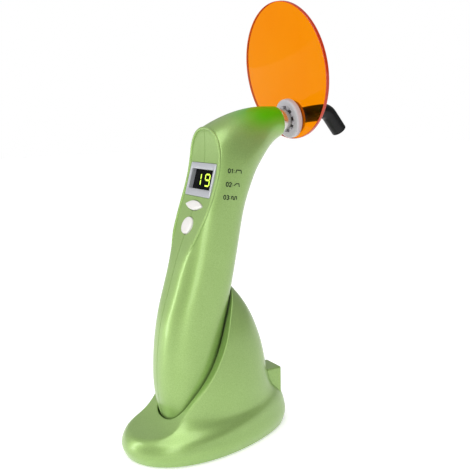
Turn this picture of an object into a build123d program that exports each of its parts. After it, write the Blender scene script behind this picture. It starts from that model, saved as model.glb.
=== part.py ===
from build123d import *
import os
from math import atan2, cos, pi, radians, sin

# Dental curing light, standing in its charging cradle
# Millimetres, +Z up, +X to the rear where the light guide points, display facing -X,
# origin under the middle of the foot

# Base: the foot's widest ring sets the size, the others are drawn in from it
foot_half_length = 52.3
foot_half_width = 29.2
base_lift = 1.0
base_wall = 2.4

# Base rings: height, rise to the rear, centre x, drawn in at the ends, drawn in at the sides, taper
base_rings = [
    (base_lift, 0.0, 0.0, 1.8, 1.8, 0.25),
    (5.7, 0.01, 0.0, 0.0, 0.0, 0.25),
    (11.5, 0.035, 0.0, 0.7, 0.4, 0.25),
    (16.4, 0.065, 0.0, 3.1, 1.7, 0.22),
    (19.6, 0.08, 0.0, 6.1, 3.6, 0.16),
    (23.6, 0.065, 0.0, 9.5, 4.7, 0.08),
    (29.0, 0.03, 0.1, 11.9, 5.1, 0.03),
    (36.0, 0.0, 0.3, 14.1, 5.5, 0.0),
    (44.0, 0.0, 0.6, 16.1, 6.3, 0.0),
    (54.0, 0.0, 0.9, 18.4, 7.7, 0.0),
    (64.0, 0.0, 0.6, 21.3, 9.3, 0.0),
    (75.0, 0.0, -0.7, 24.9, 11.6, 0.0),
    (85.0, 0.0, -2.4, 30.0, 14.2, 0.0),
    (94.0, 0.0, -4.4, 36.0, 16.8, 0.0),
]

# Slanted lip that cuts the fin open to the front, as x and z on the middle plane
lip_line = [
    (-50.0, 13.5),
    (-41.0, 15.2),
    (-33.5, 17.6),
    (-20.5, 31.0),
    (-12.2, 40.3),
    (-3.5, 52.0),
    (2.7, 64.1),
    (7.3, 76.4),
    (11.6, 86.5),
    (15.0, 98.0),
]
lip_inset = 2.1

# Handpiece rings from tail to head: front x and z, rear x and z, drawn in at the sides, squareness
handle_half_width = 18.7
tail_z = 12.0
handle_rings = [
    (-26.6, tail_z, -6.4, tail_z, 6.7, 2.4),
    (-30.8, 30.0, -1.2, 30.0, 3.3, 2.4),
    (-31.0, 54.0, 4.6, 54.0, 1.5, 2.4),
    (-26.6, 80.0, 10.9, 80.0, 0.8, 2.4),
    (-19.3, 104.0, 16.2, 104.0, 0.5, 2.4),
    (-15.0, 124.0, 19.8, 122.0, 0.2, 2.4),
    (-11.6, 140.0, 22.9, 135.5, 0.0, 2.4),
    (-7.0, 157.0, 28.0, 148.5, 0.0, 2.4),
    (-3.2, 173.5, 32.6, 156.0, 0.7, 2.35),
    (8.6, 182.6, 38.0, 162.3, 3.3, 2.25),
    (22.0, 187.7, 43.2, 167.4, 6.5, 2.1),
    (36.0, 190.2, 47.8, 171.0, 8.8, 2.0),
]
loop_steps = 4
shell_wall = 2.0
tail_floor = 2.0
seam_width = 0.24
seam_depth = 0.35

# Front face of the handpiece, as x and z on the middle plane
face_line = [
    (2.4, 190.0),
    (2.6, 180.0),
    (2.8, 170.0),
    (2.2, 161.0),
    (-3.1, 142.0),
    (-11.2, 122.5),
    (-17.8, 106.5),
    (-22.3, 93.0),
    (-27.5, 78.0),
    (-33.5, 62.0),
]
face_inset = 1.6

# Head: rim centre and the rise of the light guide's axis
rim_x = 50.6
rim_z = 181.8
rim_radius = 8.6
head_rise = 9.1
trim_ring_thickness = 0.9
trim_ring_radius = 7.9
trim_ring_bore = 6.7

# Light guide: a rod of glass fibre, in a dark sheath outside the ferrule
rod_radius = 4.0
sheath_radius = 4.6
sheath_start = 15.8
rod_bend = 60.0
rod_bend_radius = 7.5
rod_start = -16.5
rod_corner = 36.6
rod_tip_length = 16.4
rod_edge = 0.6
rod_fit = 0.02
ferrule_wall = 1.6
collar_radius = 6.4
collar_start = 1.2
collar_end = 6.2
collar_edge = 0.4
ferrule_end = 15.6
shank_length = 17.0
running_fit = 0.05
seal_section = 0.5
seal_place = -12.0
seal_groove_depth = 1.05
seal_groove_width = 1.2

# Lamp inside the head, from the guide's socket back to the heat sink
socket_wall = 0.95
socket_bore_length = 18.5
socket_stop = 1.0
socket_flange_radius = 7.5
socket_flange_start = -17.0
socket_flange_end = -15.1
light_opening_radius = 4.2
lens_radius = 5.4
lens_length = 4.0
lens_setback = 0.1
holder_length = 5.1
emitter_side = 3.4
emitter_thickness = 0.8
star_thickness = 1.6
sink_length = 11.0
sink_core = 4.4
sink_fins = 4
sink_fin_gap = 1.1
glue_gap = 0.05

# Eye shield
disc_radius = 39.2
disc_thickness = 2.1
disc_offset = 26.8
disc_turn = 3.4
disc_edge = 0.3
hub_radius = 11.4
hub_start = 6.6
hub_end = 10.5
hub_edge = 1.3
hub_grip_radius = 7.5
hub_spigot_radius = 8.0
hub_slot_width = 2.8
hub_slot_depth = 2.6
hub_slots = 8
clip_radius = 9.6
clip_thickness = 1.6
clip_edge = 0.4

# Display
bezel_x = -0.9
bezel_z = 151.4
bezel_lean = 15.8
bezel_width = 28.2
bezel_height = 18.8
bezel_depth = 4.2
bezel_corner = 0.8
bezel_edge = 0.35
bezel_ear = 1.2
bezel_ear_thickness = 0.9
bezel_gap = 0.1
window_width = 24.0
window_height = 11.2
window_up = 0.3
window_depth = 2.3
window_thickness = 1.0
module_length = 5.0
display_board_width = 26.0
display_board_height = 17.0

# Keys and their board
key_x = -7.4
key_z = 132.1
key_lean = 24.0
mode_key_width = 19.0
mode_key_height = 5.4
mode_key_up = 5.8
power_key_width = 10.8
power_key_height = 9.8
power_key_down = 5.9
key_proud = 1.1
key_edge = 0.6
key_travel = 0.6
key_gap = 0.3
key_flange = 1.0
key_flange_depth = 2.9
key_stem_radius = 1.8
board_depth = 9.0
board_thickness = 1.6
board_width = 25.0
board_length = 44.0
board_slide = -12.0
switch_height = 3.4
switch_side = 6.0
switch_dome_radius = 1.7
switch_dome_height = 0.7
buzzer_radius = 5.5
buzzer_height = 4.0
buzzer_down = 22.0
buzzer_hole = 1.0

# Battery and the ribs that hold it
cell_radius = 9.1
cell_length = 65.0
cell_x = -16.6
cell_z = 24.5
cell_lean = 10.5
cell_cap_radius = 3.2
cell_cap_height = 1.0
cell_edge = 0.5
rib_thickness = 2.0
rib_gap = 0.15
rib_radius = 13.0
head_rib_places = [-15.0, -32.0]
cell_rib_places = [4.0, 58.0]
cell_stop_radius = 6.0

# Screws that close the handpiece: x, z and the depth of the head's seat from the middle plane
shell_screw_places = [(-25.0, 46.0, 8.0), (10.2, 100.0, 8.5), (22.0, 151.0, 9.0)]
shell_boss_radius = 2.9
shell_screw_radius = 1.1
shell_screw_length = 14.0
shell_head_radius = 2.1
shell_head_height = 1.5
screw_play = 0.05
head_play = 0.2
pilot_extra = 1.0
screw_slot_width = 0.6
screw_slot_depth = 0.5

# Cradle pocket and charging contacts
pocket_gap = 0.9
pocket_wall = 2.0
seat_gap = 0.3
pocket_floor = 2.4
contact_spacing = 9.0
pad_radius = 2.2
pin_radius = 1.2
pin_shoulder = 0.3
pin_tip_radius = 0.7
pin_touch = 0.05
pin_play = 0.15

# Charging inlet at the rear
jack_box_x = 46.6
jack_box_half_width = 7.7
jack_box_top = 35.6
jack_box_bottom = 18.0
jack_box_inner_x = 24.0
jack_wall = 1.9
jack_length = 13.0
jack_half_width = 4.6
jack_height = 11.0
jack_nose_radius = 3.9
jack_bore_radius = 2.8
jack_bore_depth = 9.5
jack_pin_radius = 1.0
jack_play = 0.1

# Bottom plate, soft sole and screws
plate_thickness = 2.2
plate_gap = 0.3
sole_half_length = 42.0
sole_half_width = 15.5
sole_sink = 0.8
sole_gap = 0.1
base_screw_places = [(-25.0, 21.0), (-25.0, -21.0), (12.0, 17.5), (12.0, -17.5)]
base_boss_radius = 3.2
base_boss_top = 48.0
base_screw_radius = 1.4
base_head_radius = 2.6
base_head_height = 1.3
base_screw_length = 8.0
charge_board_z = 5.0
charge_board_length = 34.0
charge_board_width = 18.0
charge_board_x = -16.0
post_radius = 1.5
post_inset = 2.5


# Shared construction
def smooth_loop(point_at):
    """Closed face inside a loop given by angle, as four splines that meet smoothly."""
    with BuildSketch(mode=Mode.PRIVATE) as drawn:
        with BuildLine():
            for quarter in range(4):
                angles = [pi / 2 * (quarter + step / loop_steps) for step in range(loop_steps + 1)]
                ends = []
                for angle in (angles[0], angles[-1]):
                    ends.append(Vector(*point_at(angle + 0.001)) - Vector(*point_at(angle - 0.001)))
                Spline(*[point_at(angle) for angle in angles], tangents=[end.normalized() for end in ends])
        make_face()
    return drawn.sketch


def squircle(half_depth, half_width, squareness):
    """Rounded section of the handpiece."""

    def point_at(angle):
        c, s = cos(angle), sin(angle)
        u = half_depth * (1 if c > 0 else -1) * abs(c) ** (2 / squareness)
        v = half_width * (1 if s > 0 else -1) * abs(s) ** (2 / squareness)
        return (u, v)

    return smooth_loop(point_at)


def egg(half_length, half_width, taper):
    """Egg outline of the foot, its first axis and its blunt end to the front."""

    def point_at(angle):
        return (half_length * cos(angle), half_width * sin(angle) * (1 + taper * cos(angle)))

    return smooth_loop(point_at)


def ring_plane(front_x, front_z, rear_x, rear_z):
    """Plane across the handpiece that holds a front point and a rear point."""
    middle = ((front_x + rear_x) / 2, 0, (front_z + rear_z) / 2)
    lean = atan2(front_z - rear_z, rear_x - front_x)
    return Plane(origin=middle, x_dir=(-cos(lean), 0, sin(lean)), z_dir=(sin(lean), 0, cos(lean)))


def leaned_plane(x, z, lean):
    """Plane on the front face, its normal pointing out and its y axis up the face."""
    a = radians(lean)
    return Plane(origin=(x, 0, z), x_dir=(0, -1, 0), z_dir=(-cos(a), 0, sin(a)))


head_angle = radians(head_rise)
head_plane = Plane(
    origin=(rim_x, 0, rim_z),
    x_dir=(-sin(head_angle), 0, cos(head_angle)),
    z_dir=(cos(head_angle), 0, sin(head_angle)),
)
bezel_plane = leaned_plane(bezel_x, bezel_z, bezel_lean)
key_plane = leaned_plane(key_x, key_z, key_lean)
cell_plane = Plane(origin=(cell_x, 0, cell_z), x_dir=(0, 1, 0),
                   z_dir=(sin(radians(cell_lean)), 0, cos(radians(cell_lean))))


def handle_solid(grow):
    """The whole handpiece before its front face is cut, grown by an even amount."""
    with BuildPart() as form:
        for front_x, front_z, rear_x, rear_z, drawn_in, squareness in handle_rings:
            half_depth = ((rear_x - front_x) ** 2 + (front_z - rear_z) ** 2) ** 0.5 / 2
            with BuildSketch(ring_plane(front_x, front_z, rear_x, rear_z)):
                add(squircle(half_depth + grow, handle_half_width - drawn_in + grow, squareness))
        with BuildSketch(head_plane):
            add(squircle(rim_radius + grow, rim_radius + grow, 2.0))
        loft()
    return form.part


def pocket_solid(grow, floor_z):
    """The handpiece grown by a gap and carried straight down to a floor."""
    front_x, _, rear_x, _, drawn_in, squareness = handle_rings[0]
    grown = handle_solid(grow)
    with BuildPart() as form:
        add(grown)
        with BuildSketch(Plane(((front_x + rear_x) / 2, 0, floor_z))):
            add(squircle((rear_x - front_x) / 2 + grow, handle_half_width - drawn_in + grow, squareness))
        extrude(amount=tail_z - floor_z)
    return form.part


def base_solid(grow):
    """Foot and fin in one smooth form, grown by an even amount."""
    with BuildPart() as form:
        for height, rise, centre, end_inset, side_inset, taper in base_rings:
            with BuildSketch(Plane((centre, 0, height), x_dir=(-1, 0, -rise), z_dir=(-rise, 0, 1))):
                add(egg(foot_half_length - end_inset + grow, foot_half_width - side_inset + grow, taper))
        loft()
    return form.part


def front_of_line(points, inset):
    """Block of everything in front of and above a line on the middle plane, moved in by an inset."""
    moved = [(x + inset, z - inset) for x, z in points]
    reach = -foot_half_length - 40
    with BuildPart() as block:
        with BuildSketch(Plane.XZ):
            with BuildLine():
                edge = Spline(*moved)
                Polyline(edge @ 1, (reach, moved[-1][1]), (reach, moved[0][1]), edge @ 0)
            make_face()
        extrude(amount=2 * foot_half_width, both=True)
    return block.part


def head_along(distance):
    """Plane square to the light guide's axis, measured outwards from the rim."""
    return head_plane.offset(distance)


def ring_solid(plane, thickness, outer, inner):
    """Flat ring standing on a plane."""
    with BuildPart() as ring:
        with BuildSketch(plane):
            Circle(outer)
            Circle(inner, mode=Mode.SUBTRACT)
        extrude(amount=thickness)
    return ring.part


def lens_outline(width, height):
    """Pointed oval made of two arcs."""
    with BuildSketch(mode=Mode.PRIVATE) as drawn:
        with BuildLine():
            ThreePointArc((-width / 2, 0), (0, height / 2), (width / 2, 0))
            ThreePointArc((width / 2, 0), (0, -height / 2), (-width / 2, 0))
        make_face()
    return drawn.sketch


def power_outline(grow):
    """Outline of the power key, grown by a gap."""
    with BuildSketch(mode=Mode.PRIVATE) as drawn:
        with Locations((0, -power_key_down)):
            Ellipse(power_key_width / 2 + grow, power_key_height / 2 + grow)
    return drawn.sketch


def mode_outline(grow):
    """Outline of the mode key, grown by a gap."""
    shape = lens_outline(mode_key_width + 2.6 * grow, mode_key_height + 2 * grow)
    return shape.moved(Location((0, mode_key_up)))


os.makedirs("parts", exist_ok=True)

# Forms that several pieces are cut from
handle_form = handle_solid(0)
face_cut = front_of_line(face_line, 0)
handle_inner = handle_solid(-shell_wall)
face_cut_inner = front_of_line(face_line, face_inset)
groove_inner = handle_solid(-seam_depth)
groove_face = front_of_line(face_line, seam_depth)
base_form = base_solid(0)
base_inner = base_solid(-base_wall)
lip_cut = front_of_line(lip_line, 0)
lip_cut_inner = front_of_line(lip_line, lip_inset)
pocket_z = tail_z - seat_gap
well_z = pocket_z - pocket_floor
pocket_form = pocket_solid(pocket_gap, pocket_z)
well_form = pocket_solid(pocket_gap + pocket_wall, well_z)

# Radii that follow from others
ferrule_radius = rod_radius + ferrule_wall
socket_bore = ferrule_radius + running_fit
socket_radius = socket_bore + socket_wall
tail_x = (handle_rings[0][0] + handle_rings[0][2]) / 2
jack_z = jack_box_top - jack_wall - jack_play - jack_height / 2
jack_cavity_x = jack_box_x - jack_wall

# Base shell: hollow first, with the pocket's wall, the bosses and the jack's box left standing in it
with BuildPart() as base_hollow:
    add(base_inner)
    add(lip_cut_inner, mode=Mode.SUBTRACT)
    add(well_form, mode=Mode.SUBTRACT)
    with BuildSketch(Plane.XY.offset(base_lift + plate_thickness)):
        with Locations(*base_screw_places):
            Circle(base_boss_radius)
    extrude(amount=base_boss_top - base_lift - plate_thickness, mode=Mode.SUBTRACT)
    with BuildSketch(Plane.YZ.offset(jack_box_inner_x)):
        with Locations((0, (jack_box_top + jack_box_bottom) / 2)):
            Rectangle(2 * jack_box_half_width, jack_box_top - jack_box_bottom)
    extrude(amount=jack_box_x - jack_box_inner_x, mode=Mode.SUBTRACT)

with BuildPart() as base_shell:
    add(base_form)
    add(lip_cut, mode=Mode.SUBTRACT)
    with BuildSketch(Plane.YZ.offset(jack_box_inner_x)):
        with Locations((0, (jack_box_top + jack_box_bottom) / 2)):
            Rectangle(2 * jack_box_half_width, jack_box_top - jack_box_bottom)
    extrude(amount=jack_box_x - jack_box_inner_x)
    add(base_hollow.part, mode=Mode.SUBTRACT)
    add(pocket_form, mode=Mode.SUBTRACT)
    with BuildSketch(Plane.YZ.offset(jack_box_inner_x)):
        with Locations((0, jack_z)):
            Rectangle(2 * (jack_half_width + jack_play), jack_height + 2 * jack_play)
    extrude(amount=jack_cavity_x - jack_box_inner_x, mode=Mode.SUBTRACT)
    with BuildSketch(Plane.YZ.offset(jack_cavity_x)):
        with Locations((0, jack_z)):
            Circle(jack_nose_radius + jack_play)
    extrude(amount=jack_wall, mode=Mode.SUBTRACT)
    with BuildSketch(Plane.XY.offset(base_lift + plate_thickness)):
        with Locations(*base_screw_places):
            Circle(base_screw_radius + screw_play)
    extrude(amount=base_screw_length + pilot_extra - plate_thickness + base_head_height, mode=Mode.SUBTRACT)
    with BuildSketch(Plane.XY.offset(well_z)):
        with Locations((tail_x, -contact_spacing / 2), (tail_x, contact_spacing / 2)):
            Circle(pin_radius + pin_play)
    extrude(amount=pocket_floor, mode=Mode.SUBTRACT)
base_shell.part.label = "base_shell"
export_step(base_shell.part, "parts/base_shell.step")

# Bottom plate with recesses for the sole and the screw heads, and posts for the board
post_x = charge_board_length / 2 - post_inset
post_y = charge_board_width / 2 - post_inset
with BuildPart() as base_plate:
    with BuildSketch(Plane((0, 0, base_lift), x_dir=(-1, 0, 0), z_dir=(0, 0, 1))):
        add(egg(
            foot_half_length - base_rings[0][3] - base_wall - plate_gap,
            foot_half_width - base_rings[0][4] - base_wall - plate_gap,
            base_rings[0][5],
        ))
    extrude(amount=plate_thickness)
    with BuildSketch(Plane.XY.offset(base_lift + plate_thickness)):
        with Locations((charge_board_x, 0)):
            with GridLocations(2 * post_x, 2 * post_y, 2, 2):
                Circle(post_radius)
    extrude(amount=charge_board_z - base_lift - plate_thickness)
    with BuildSketch(Plane((0, 0, base_lift), x_dir=(-1, 0, 0), z_dir=(0, 0, 1))):
        add(egg(sole_half_length + sole_gap, sole_half_width + sole_gap, base_rings[0][5]))
    extrude(amount=sole_sink, mode=Mode.SUBTRACT)
    with BuildSketch(Plane.XY.offset(base_lift)):
        with Locations(*base_screw_places):
            Circle(base_head_radius + head_play)
    extrude(amount=base_head_height + screw_play, mode=Mode.SUBTRACT)
    with BuildSketch(Plane.XY.offset(base_lift)):
        with Locations(*base_screw_places):
            Circle(base_screw_radius + head_play)
    extrude(amount=plate_thickness, mode=Mode.SUBTRACT)
base_plate.part.label = "base_plate"
export_step(base_plate.part, "parts/base_plate.step")

with BuildPart() as base_sole:
    with BuildSketch(Plane((0, 0, 0), x_dir=(-1, 0, 0), z_dir=(0, 0, 1))):
        add(egg(sole_half_length, sole_half_width, base_rings[0][5]))
    extrude(amount=base_lift + sole_sink)
base_sole.part.label = "base_sole"
export_step(base_sole.part, "parts/base_sole.step")

head_seat_z = base_lift + base_head_height + screw_play
with BuildPart() as base_screws:
    with BuildSketch(Plane.XY.offset(head_seat_z - base_head_height)):
        with Locations(*base_screw_places):
            Circle(base_head_radius)
    extrude(amount=base_head_height)
    with BuildSketch(Plane.XY.offset(head_seat_z)):
        with Locations(*base_screw_places):
            Circle(base_screw_radius)
    extrude(amount=base_screw_length)
    with BuildSketch(Plane.XY.offset(head_seat_z - base_head_height)):
        with Locations(*base_screw_places):
            Rectangle(2 * base_screw_radius, screw_slot_width)
            Rectangle(screw_slot_width, 2 * base_screw_radius)
    extrude(amount=screw_slot_depth, mode=Mode.SUBTRACT)
base_screws.part.label = "base_screws"
export_step(base_screws.part, "parts/base_screws.step")

with BuildPart() as charge_board:
    with BuildSketch(Plane.XY.offset(charge_board_z)):
        with Locations((charge_board_x, 0)):
            Rectangle(charge_board_length, charge_board_width)
    extrude(amount=board_thickness)
charge_board.part.label = "charge_board"
export_step(charge_board.part, "parts/charge_board.step")

# Two contact pins that stand on the board and reach the handpiece's tail
pin_foot_z = charge_board_z + board_thickness
with BuildPart() as charge_pins:
    with BuildSketch(Plane.XY.offset(pin_foot_z)):
        with Locations((tail_x, -contact_spacing / 2), (tail_x, contact_spacing / 2)):
            Circle(pin_radius)
    extrude(amount=pocket_z - pin_shoulder - pin_foot_z)
    with BuildSketch(Plane.XY.offset(pocket_z - pin_shoulder)):
        with Locations((tail_x, -contact_spacing / 2), (tail_x, contact_spacing / 2)):
            Circle(pin_tip_radius)
    extrude(amount=tail_z - pin_touch - pocket_z + pin_shoulder)
charge_pins.part.label = "charge_pins"
export_step(charge_pins.part, "parts/charge_pins.step")

# Charging inlet: body, nose, bore and centre pin
jack_front_x = jack_cavity_x - jack_play
with BuildPart() as dc_jack:
    with BuildSketch(Plane.YZ.offset(jack_front_x - jack_length)):
        with Locations((0, jack_z)):
            Rectangle(2 * jack_half_width, jack_height)
    extrude(amount=jack_length)
    with BuildSketch(Plane.YZ.offset(jack_front_x)):
        with Locations((0, jack_z)):
            Circle(jack_nose_radius)
    extrude(amount=jack_box_x - jack_front_x)
    with BuildSketch(Plane.YZ.offset(jack_box_x - jack_bore_depth)):
        with Locations((0, jack_z)):
            Circle(jack_bore_radius)
            Circle(jack_pin_radius, mode=Mode.SUBTRACT)
    extrude(amount=jack_bore_depth, mode=Mode.SUBTRACT)
dc_jack.part.label = "dc_jack"
export_step(dc_jack.part, "parts/dc_jack.step")

# Ribs of the handpiece, kept as solid forms until the hollow is cut round them
head_ribs = [
    ring_solid(head_along(place), rib_thickness, rib_radius, socket_radius + glue_gap)
    for place in head_rib_places
]
cell_ribs = [
    ring_solid(cell_plane.offset(place), rib_thickness, 2 * rib_radius, cell_radius + rib_gap)
    for place in cell_rib_places
]
cell_ribs.append(ring_solid(cell_plane.offset(-rib_thickness - glue_gap), rib_thickness,
                            2 * rib_radius, cell_stop_radius))

with BuildPart() as handle_hollow:
    add(handle_inner)
    add(face_cut_inner, mode=Mode.SUBTRACT)
    with BuildSketch(Plane.XY.offset(tail_z - 1)):
        with Locations((tail_x, 0)):
            Rectangle(4 * handle_half_width, 4 * handle_half_width)
    extrude(amount=tail_floor + 1, mode=Mode.SUBTRACT)
    for rib in head_ribs + cell_ribs:
        add(rib, mode=Mode.SUBTRACT)
    with BuildSketch(Plane.XZ):
        with Locations(*[(x, z) for x, z, seat in shell_screw_places]):
            Circle(shell_boss_radius)
    extrude(amount=handle_half_width + 1, both=True, mode=Mode.SUBTRACT)

with BuildPart() as groove_core:
    add(groove_inner)
    add(groove_face, mode=Mode.SUBTRACT)

with BuildPart() as seam_groove:
    with BuildSketch(Plane.XZ):
        with Locations((0, rim_z / 2)):
            Rectangle(4 * foot_half_length, 2 * rim_z)
    extrude(amount=seam_width / 2, both=True)
    add(groove_core.part, mode=Mode.SUBTRACT)

# Handpiece body before it is parted on the middle plane
with BuildPart() as handle_body:
    add(handle_form)
    add(face_cut, mode=Mode.SUBTRACT)
    add(seam_groove.part, mode=Mode.SUBTRACT)
    add(handle_hollow.part, mode=Mode.SUBTRACT)
    with BuildSketch(head_along(-socket_flange_radius)):
        Circle(socket_radius + glue_gap)
    extrude(amount=socket_flange_radius, mode=Mode.SUBTRACT)
    with BuildSketch(bezel_plane):
        RectangleRounded(bezel_width + 2 * bezel_gap, bezel_height + 2 * bezel_gap, bezel_corner)
    extrude(amount=bezel_depth, both=True, mode=Mode.SUBTRACT)
    with BuildSketch(key_plane):
        add(mode_outline(key_gap))
        add(power_outline(key_gap))
    extrude(amount=bezel_depth, both=True, mode=Mode.SUBTRACT)
    with BuildSketch(Plane.XY.offset(tail_z)):
        with Locations((tail_x, -contact_spacing / 2), (tail_x, contact_spacing / 2)):
            Circle(pad_radius + glue_gap)
    extrude(amount=tail_floor, mode=Mode.SUBTRACT)

with BuildPart() as shell_right:
    add(handle_body.part)
    split(bisect_by=Plane.XZ, keep=Keep.TOP)
    for x, z, seat in shell_screw_places:
        with BuildSketch(Plane.XZ):
            with Locations((x, z)):
                Circle(shell_screw_radius + screw_play)
        extrude(amount=shell_screw_length - seat + pilot_extra, mode=Mode.SUBTRACT)
shell_right.part.label = "shell_right"
export_step(shell_right.part, "parts/shell_right.step")

with BuildPart() as shell_left:
    add(handle_body.part)
    split(bisect_by=Plane.XZ, keep=Keep.BOTTOM)
    for x, z, seat in shell_screw_places:
        with BuildSketch(Plane.XZ):
            with Locations((x, z)):
                Circle(shell_screw_radius + head_play)
        extrude(amount=-seat, mode=Mode.SUBTRACT)
        with BuildSketch(Plane.XZ.offset(-seat)):
            with Locations((x, z)):
                Circle(shell_head_radius + head_play)
        extrude(amount=-handle_half_width, mode=Mode.SUBTRACT)
shell_left.part.label = "shell_left"
export_step(shell_left.part, "parts/shell_left.step")

# Screws that close the handpiece, driven in from the left
with BuildPart() as shell_screws:
    for x, z, seat in shell_screw_places:
        with BuildSketch(Plane.XZ.offset(-seat)):
            with Locations((x, z)):
                Circle(shell_screw_radius)
        extrude(amount=shell_screw_length)
        with BuildSketch(Plane.XZ.offset(-seat)):
            with Locations((x, z)):
                Circle(shell_head_radius)
        extrude(amount=-shell_head_height)
        with BuildSketch(Plane.XZ.offset(-seat - shell_head_height)):
            with Locations((x, z)):
                Rectangle(1.3 * shell_head_radius, screw_slot_width)
                Rectangle(screw_slot_width, 1.3 * shell_head_radius)
        extrude(amount=screw_slot_depth, mode=Mode.SUBTRACT)
shell_screws.part.label = "shell_screws"
export_step(shell_screws.part, "parts/shell_screws.step")

# Display: frame with side ears behind the shell's wall, black window, digit block and board
with BuildPart() as display_bezel:
    with BuildSketch(bezel_plane.offset(-bezel_depth)):
        RectangleRounded(bezel_width, bezel_height, bezel_corner - bezel_gap)
    extrude(amount=bezel_depth)
    with BuildSketch(bezel_plane.offset(-bezel_depth)):
        Rectangle(bezel_width + 2 * bezel_ear, bezel_height)
    extrude(amount=bezel_ear_thickness)
    chamfer(display_bezel.faces().sort_by(Axis((0, 0, 0), bezel_plane.z_dir))[-1].edges(), length=bezel_edge)
    with BuildSketch(bezel_plane.offset(-bezel_depth)):
        with Locations((0, window_up)):
            Rectangle(window_width, window_height)
    extrude(amount=bezel_depth, mode=Mode.SUBTRACT)
display_bezel.part.label = "display_bezel"
export_step(display_bezel.part, "parts/display_bezel.step")

with BuildPart() as display_window:
    with BuildSketch(bezel_plane.offset(-window_depth - window_thickness)):
        with Locations((0, window_up)):
            Rectangle(window_width - 2 * glue_gap, window_height - 2 * glue_gap)
    extrude(amount=window_thickness)
display_window.part.label = "display_window"
export_step(display_window.part, "parts/display_window.step")

module_back = window_depth + window_thickness + glue_gap + module_length
with BuildPart() as display_module:
    with BuildSketch(bezel_plane.offset(-module_back)):
        with Locations((0, window_up)):
            Rectangle(window_width - 4 * glue_gap, window_height - 4 * glue_gap)
    extrude(amount=module_length)
display_module.part.label = "display_module"
export_step(display_module.part, "parts/display_module.step")

with BuildPart() as display_board:
    with BuildSketch(bezel_plane.offset(-module_back - board_thickness)):
        Rectangle(display_board_width, display_board_height)
    extrude(amount=board_thickness)
display_board.part.label = "display_board"
export_step(display_board.part, "parts/display_board.step")

# Key board with its two switches in front and the buzzer behind
with BuildPart() as control_board:
    with BuildSketch(key_plane.offset(-board_depth - board_thickness)):
        with Locations((0, board_slide)):
            Rectangle(board_width, board_length)
    extrude(amount=board_thickness)
control_board.part.label = "control_board"
export_step(control_board.part, "parts/control_board.step")

with BuildPart() as mode_switch:
    with BuildSketch(key_plane.offset(-board_depth)):
        with Locations((0, mode_key_up)):
            Rectangle(switch_side, switch_side)
    extrude(amount=switch_height - switch_dome_height)
    with BuildSketch(key_plane.offset(-board_depth)):
        with Locations((0, mode_key_up)):
            Circle(switch_dome_radius)
    extrude(amount=switch_height)
mode_switch.part.label = "mode_switch"
export_step(mode_switch.part, "parts/mode_switch.step")

with BuildPart() as power_switch:
    with BuildSketch(key_plane.offset(-board_depth)):
        with Locations((0, -power_key_down)):
            Rectangle(switch_side, switch_side)
    extrude(amount=switch_height - switch_dome_height)
    with BuildSketch(key_plane.offset(-board_depth)):
        with Locations((0, -power_key_down)):
            Circle(switch_dome_radius)
    extrude(amount=switch_height)
power_switch.part.label = "power_switch"
export_step(power_switch.part, "parts/power_switch.step")

with BuildPart() as buzzer:
    with BuildSketch(key_plane.offset(-board_depth - board_thickness)):
        with Locations((0, -buzzer_down)):
            Circle(buzzer_radius)
            Circle(buzzer_hole, mode=Mode.SUBTRACT)
    extrude(amount=-buzzer_height)
buzzer.part.label = "buzzer"
export_step(buzzer.part, "parts/buzzer.step")

# Keys: cap in the shell's opening, flange behind the wall, stem down to the switch
stem_depth = board_depth - switch_height - key_travel - glue_gap
with BuildPart() as mode_button:
    with BuildSketch(key_plane.offset(-key_flange_depth)):
        add(mode_outline(0))
    extrude(amount=key_flange_depth + key_proud)
    fillet(mode_button.faces().sort_by(Axis((0, 0, 0), key_plane.z_dir))[-1].edges(), radius=key_edge)
    with BuildSketch(key_plane.offset(-key_flange_depth - key_flange)):
        with Locations((0, mode_key_up)):
            Ellipse(mode_key_width / 2 + key_flange, mode_key_height / 2 + key_flange)
    extrude(amount=key_flange)
    with BuildSketch(key_plane.offset(-stem_depth)):
        with Locations((0, mode_key_up)):
            Circle(key_stem_radius)
    extrude(amount=stem_depth - key_flange_depth)
mode_button.part.label = "mode_button"
export_step(mode_button.part, "parts/mode_button.step")

with BuildPart() as power_button:
    with BuildSketch(key_plane.offset(-key_flange_depth)):
        add(power_outline(0))
    extrude(amount=key_flange_depth + key_proud)
    fillet(power_button.faces().sort_by(Axis((0, 0, 0), key_plane.z_dir))[-1].edges(), radius=key_edge)
    with BuildSketch(key_plane.offset(-key_flange_depth - key_flange)):
        add(power_outline(key_flange))
    extrude(amount=key_flange)
    with BuildSketch(key_plane.offset(-stem_depth)):
        with Locations((0, -power_key_down)):
            Circle(key_stem_radius)
    extrude(amount=stem_depth - key_flange_depth)
power_button.part.label = "power_button"
export_step(power_button.part, "parts/power_button.step")

# Battery cell and the two contacts in the tail
with BuildPart() as battery_cell:
    with BuildSketch(cell_plane):
        Circle(cell_radius)
    extrude(amount=cell_length)
    fillet(battery_cell.edges(), radius=cell_edge)
    with BuildSketch(cell_plane.offset(cell_length)):
        Circle(cell_cap_radius)
    extrude(amount=cell_cap_height)
battery_cell.part.label = "battery_cell"
export_step(battery_cell.part, "parts/battery_cell.step")

with BuildPart() as tail_contacts:
    with BuildSketch(Plane.XY.offset(tail_z)):
        with Locations((tail_x, -contact_spacing / 2), (tail_x, contact_spacing / 2)):
            Circle(pad_radius)
    extrude(amount=tail_floor)
tail_contacts.part.label = "tail_contacts"
export_step(tail_contacts.part, "parts/tail_contacts.step")

# Head: trim ring on the rim, socket for the light guide, then the lamp behind it
with BuildPart() as trim_ring:
    with BuildSketch(head_along(0)):
        Circle(trim_ring_radius)
        Circle(trim_ring_bore, mode=Mode.SUBTRACT)
    extrude(amount=trim_ring_thickness)
trim_ring.part.label = "trim_ring"
export_step(trim_ring.part, "parts/trim_ring.step")

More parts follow.
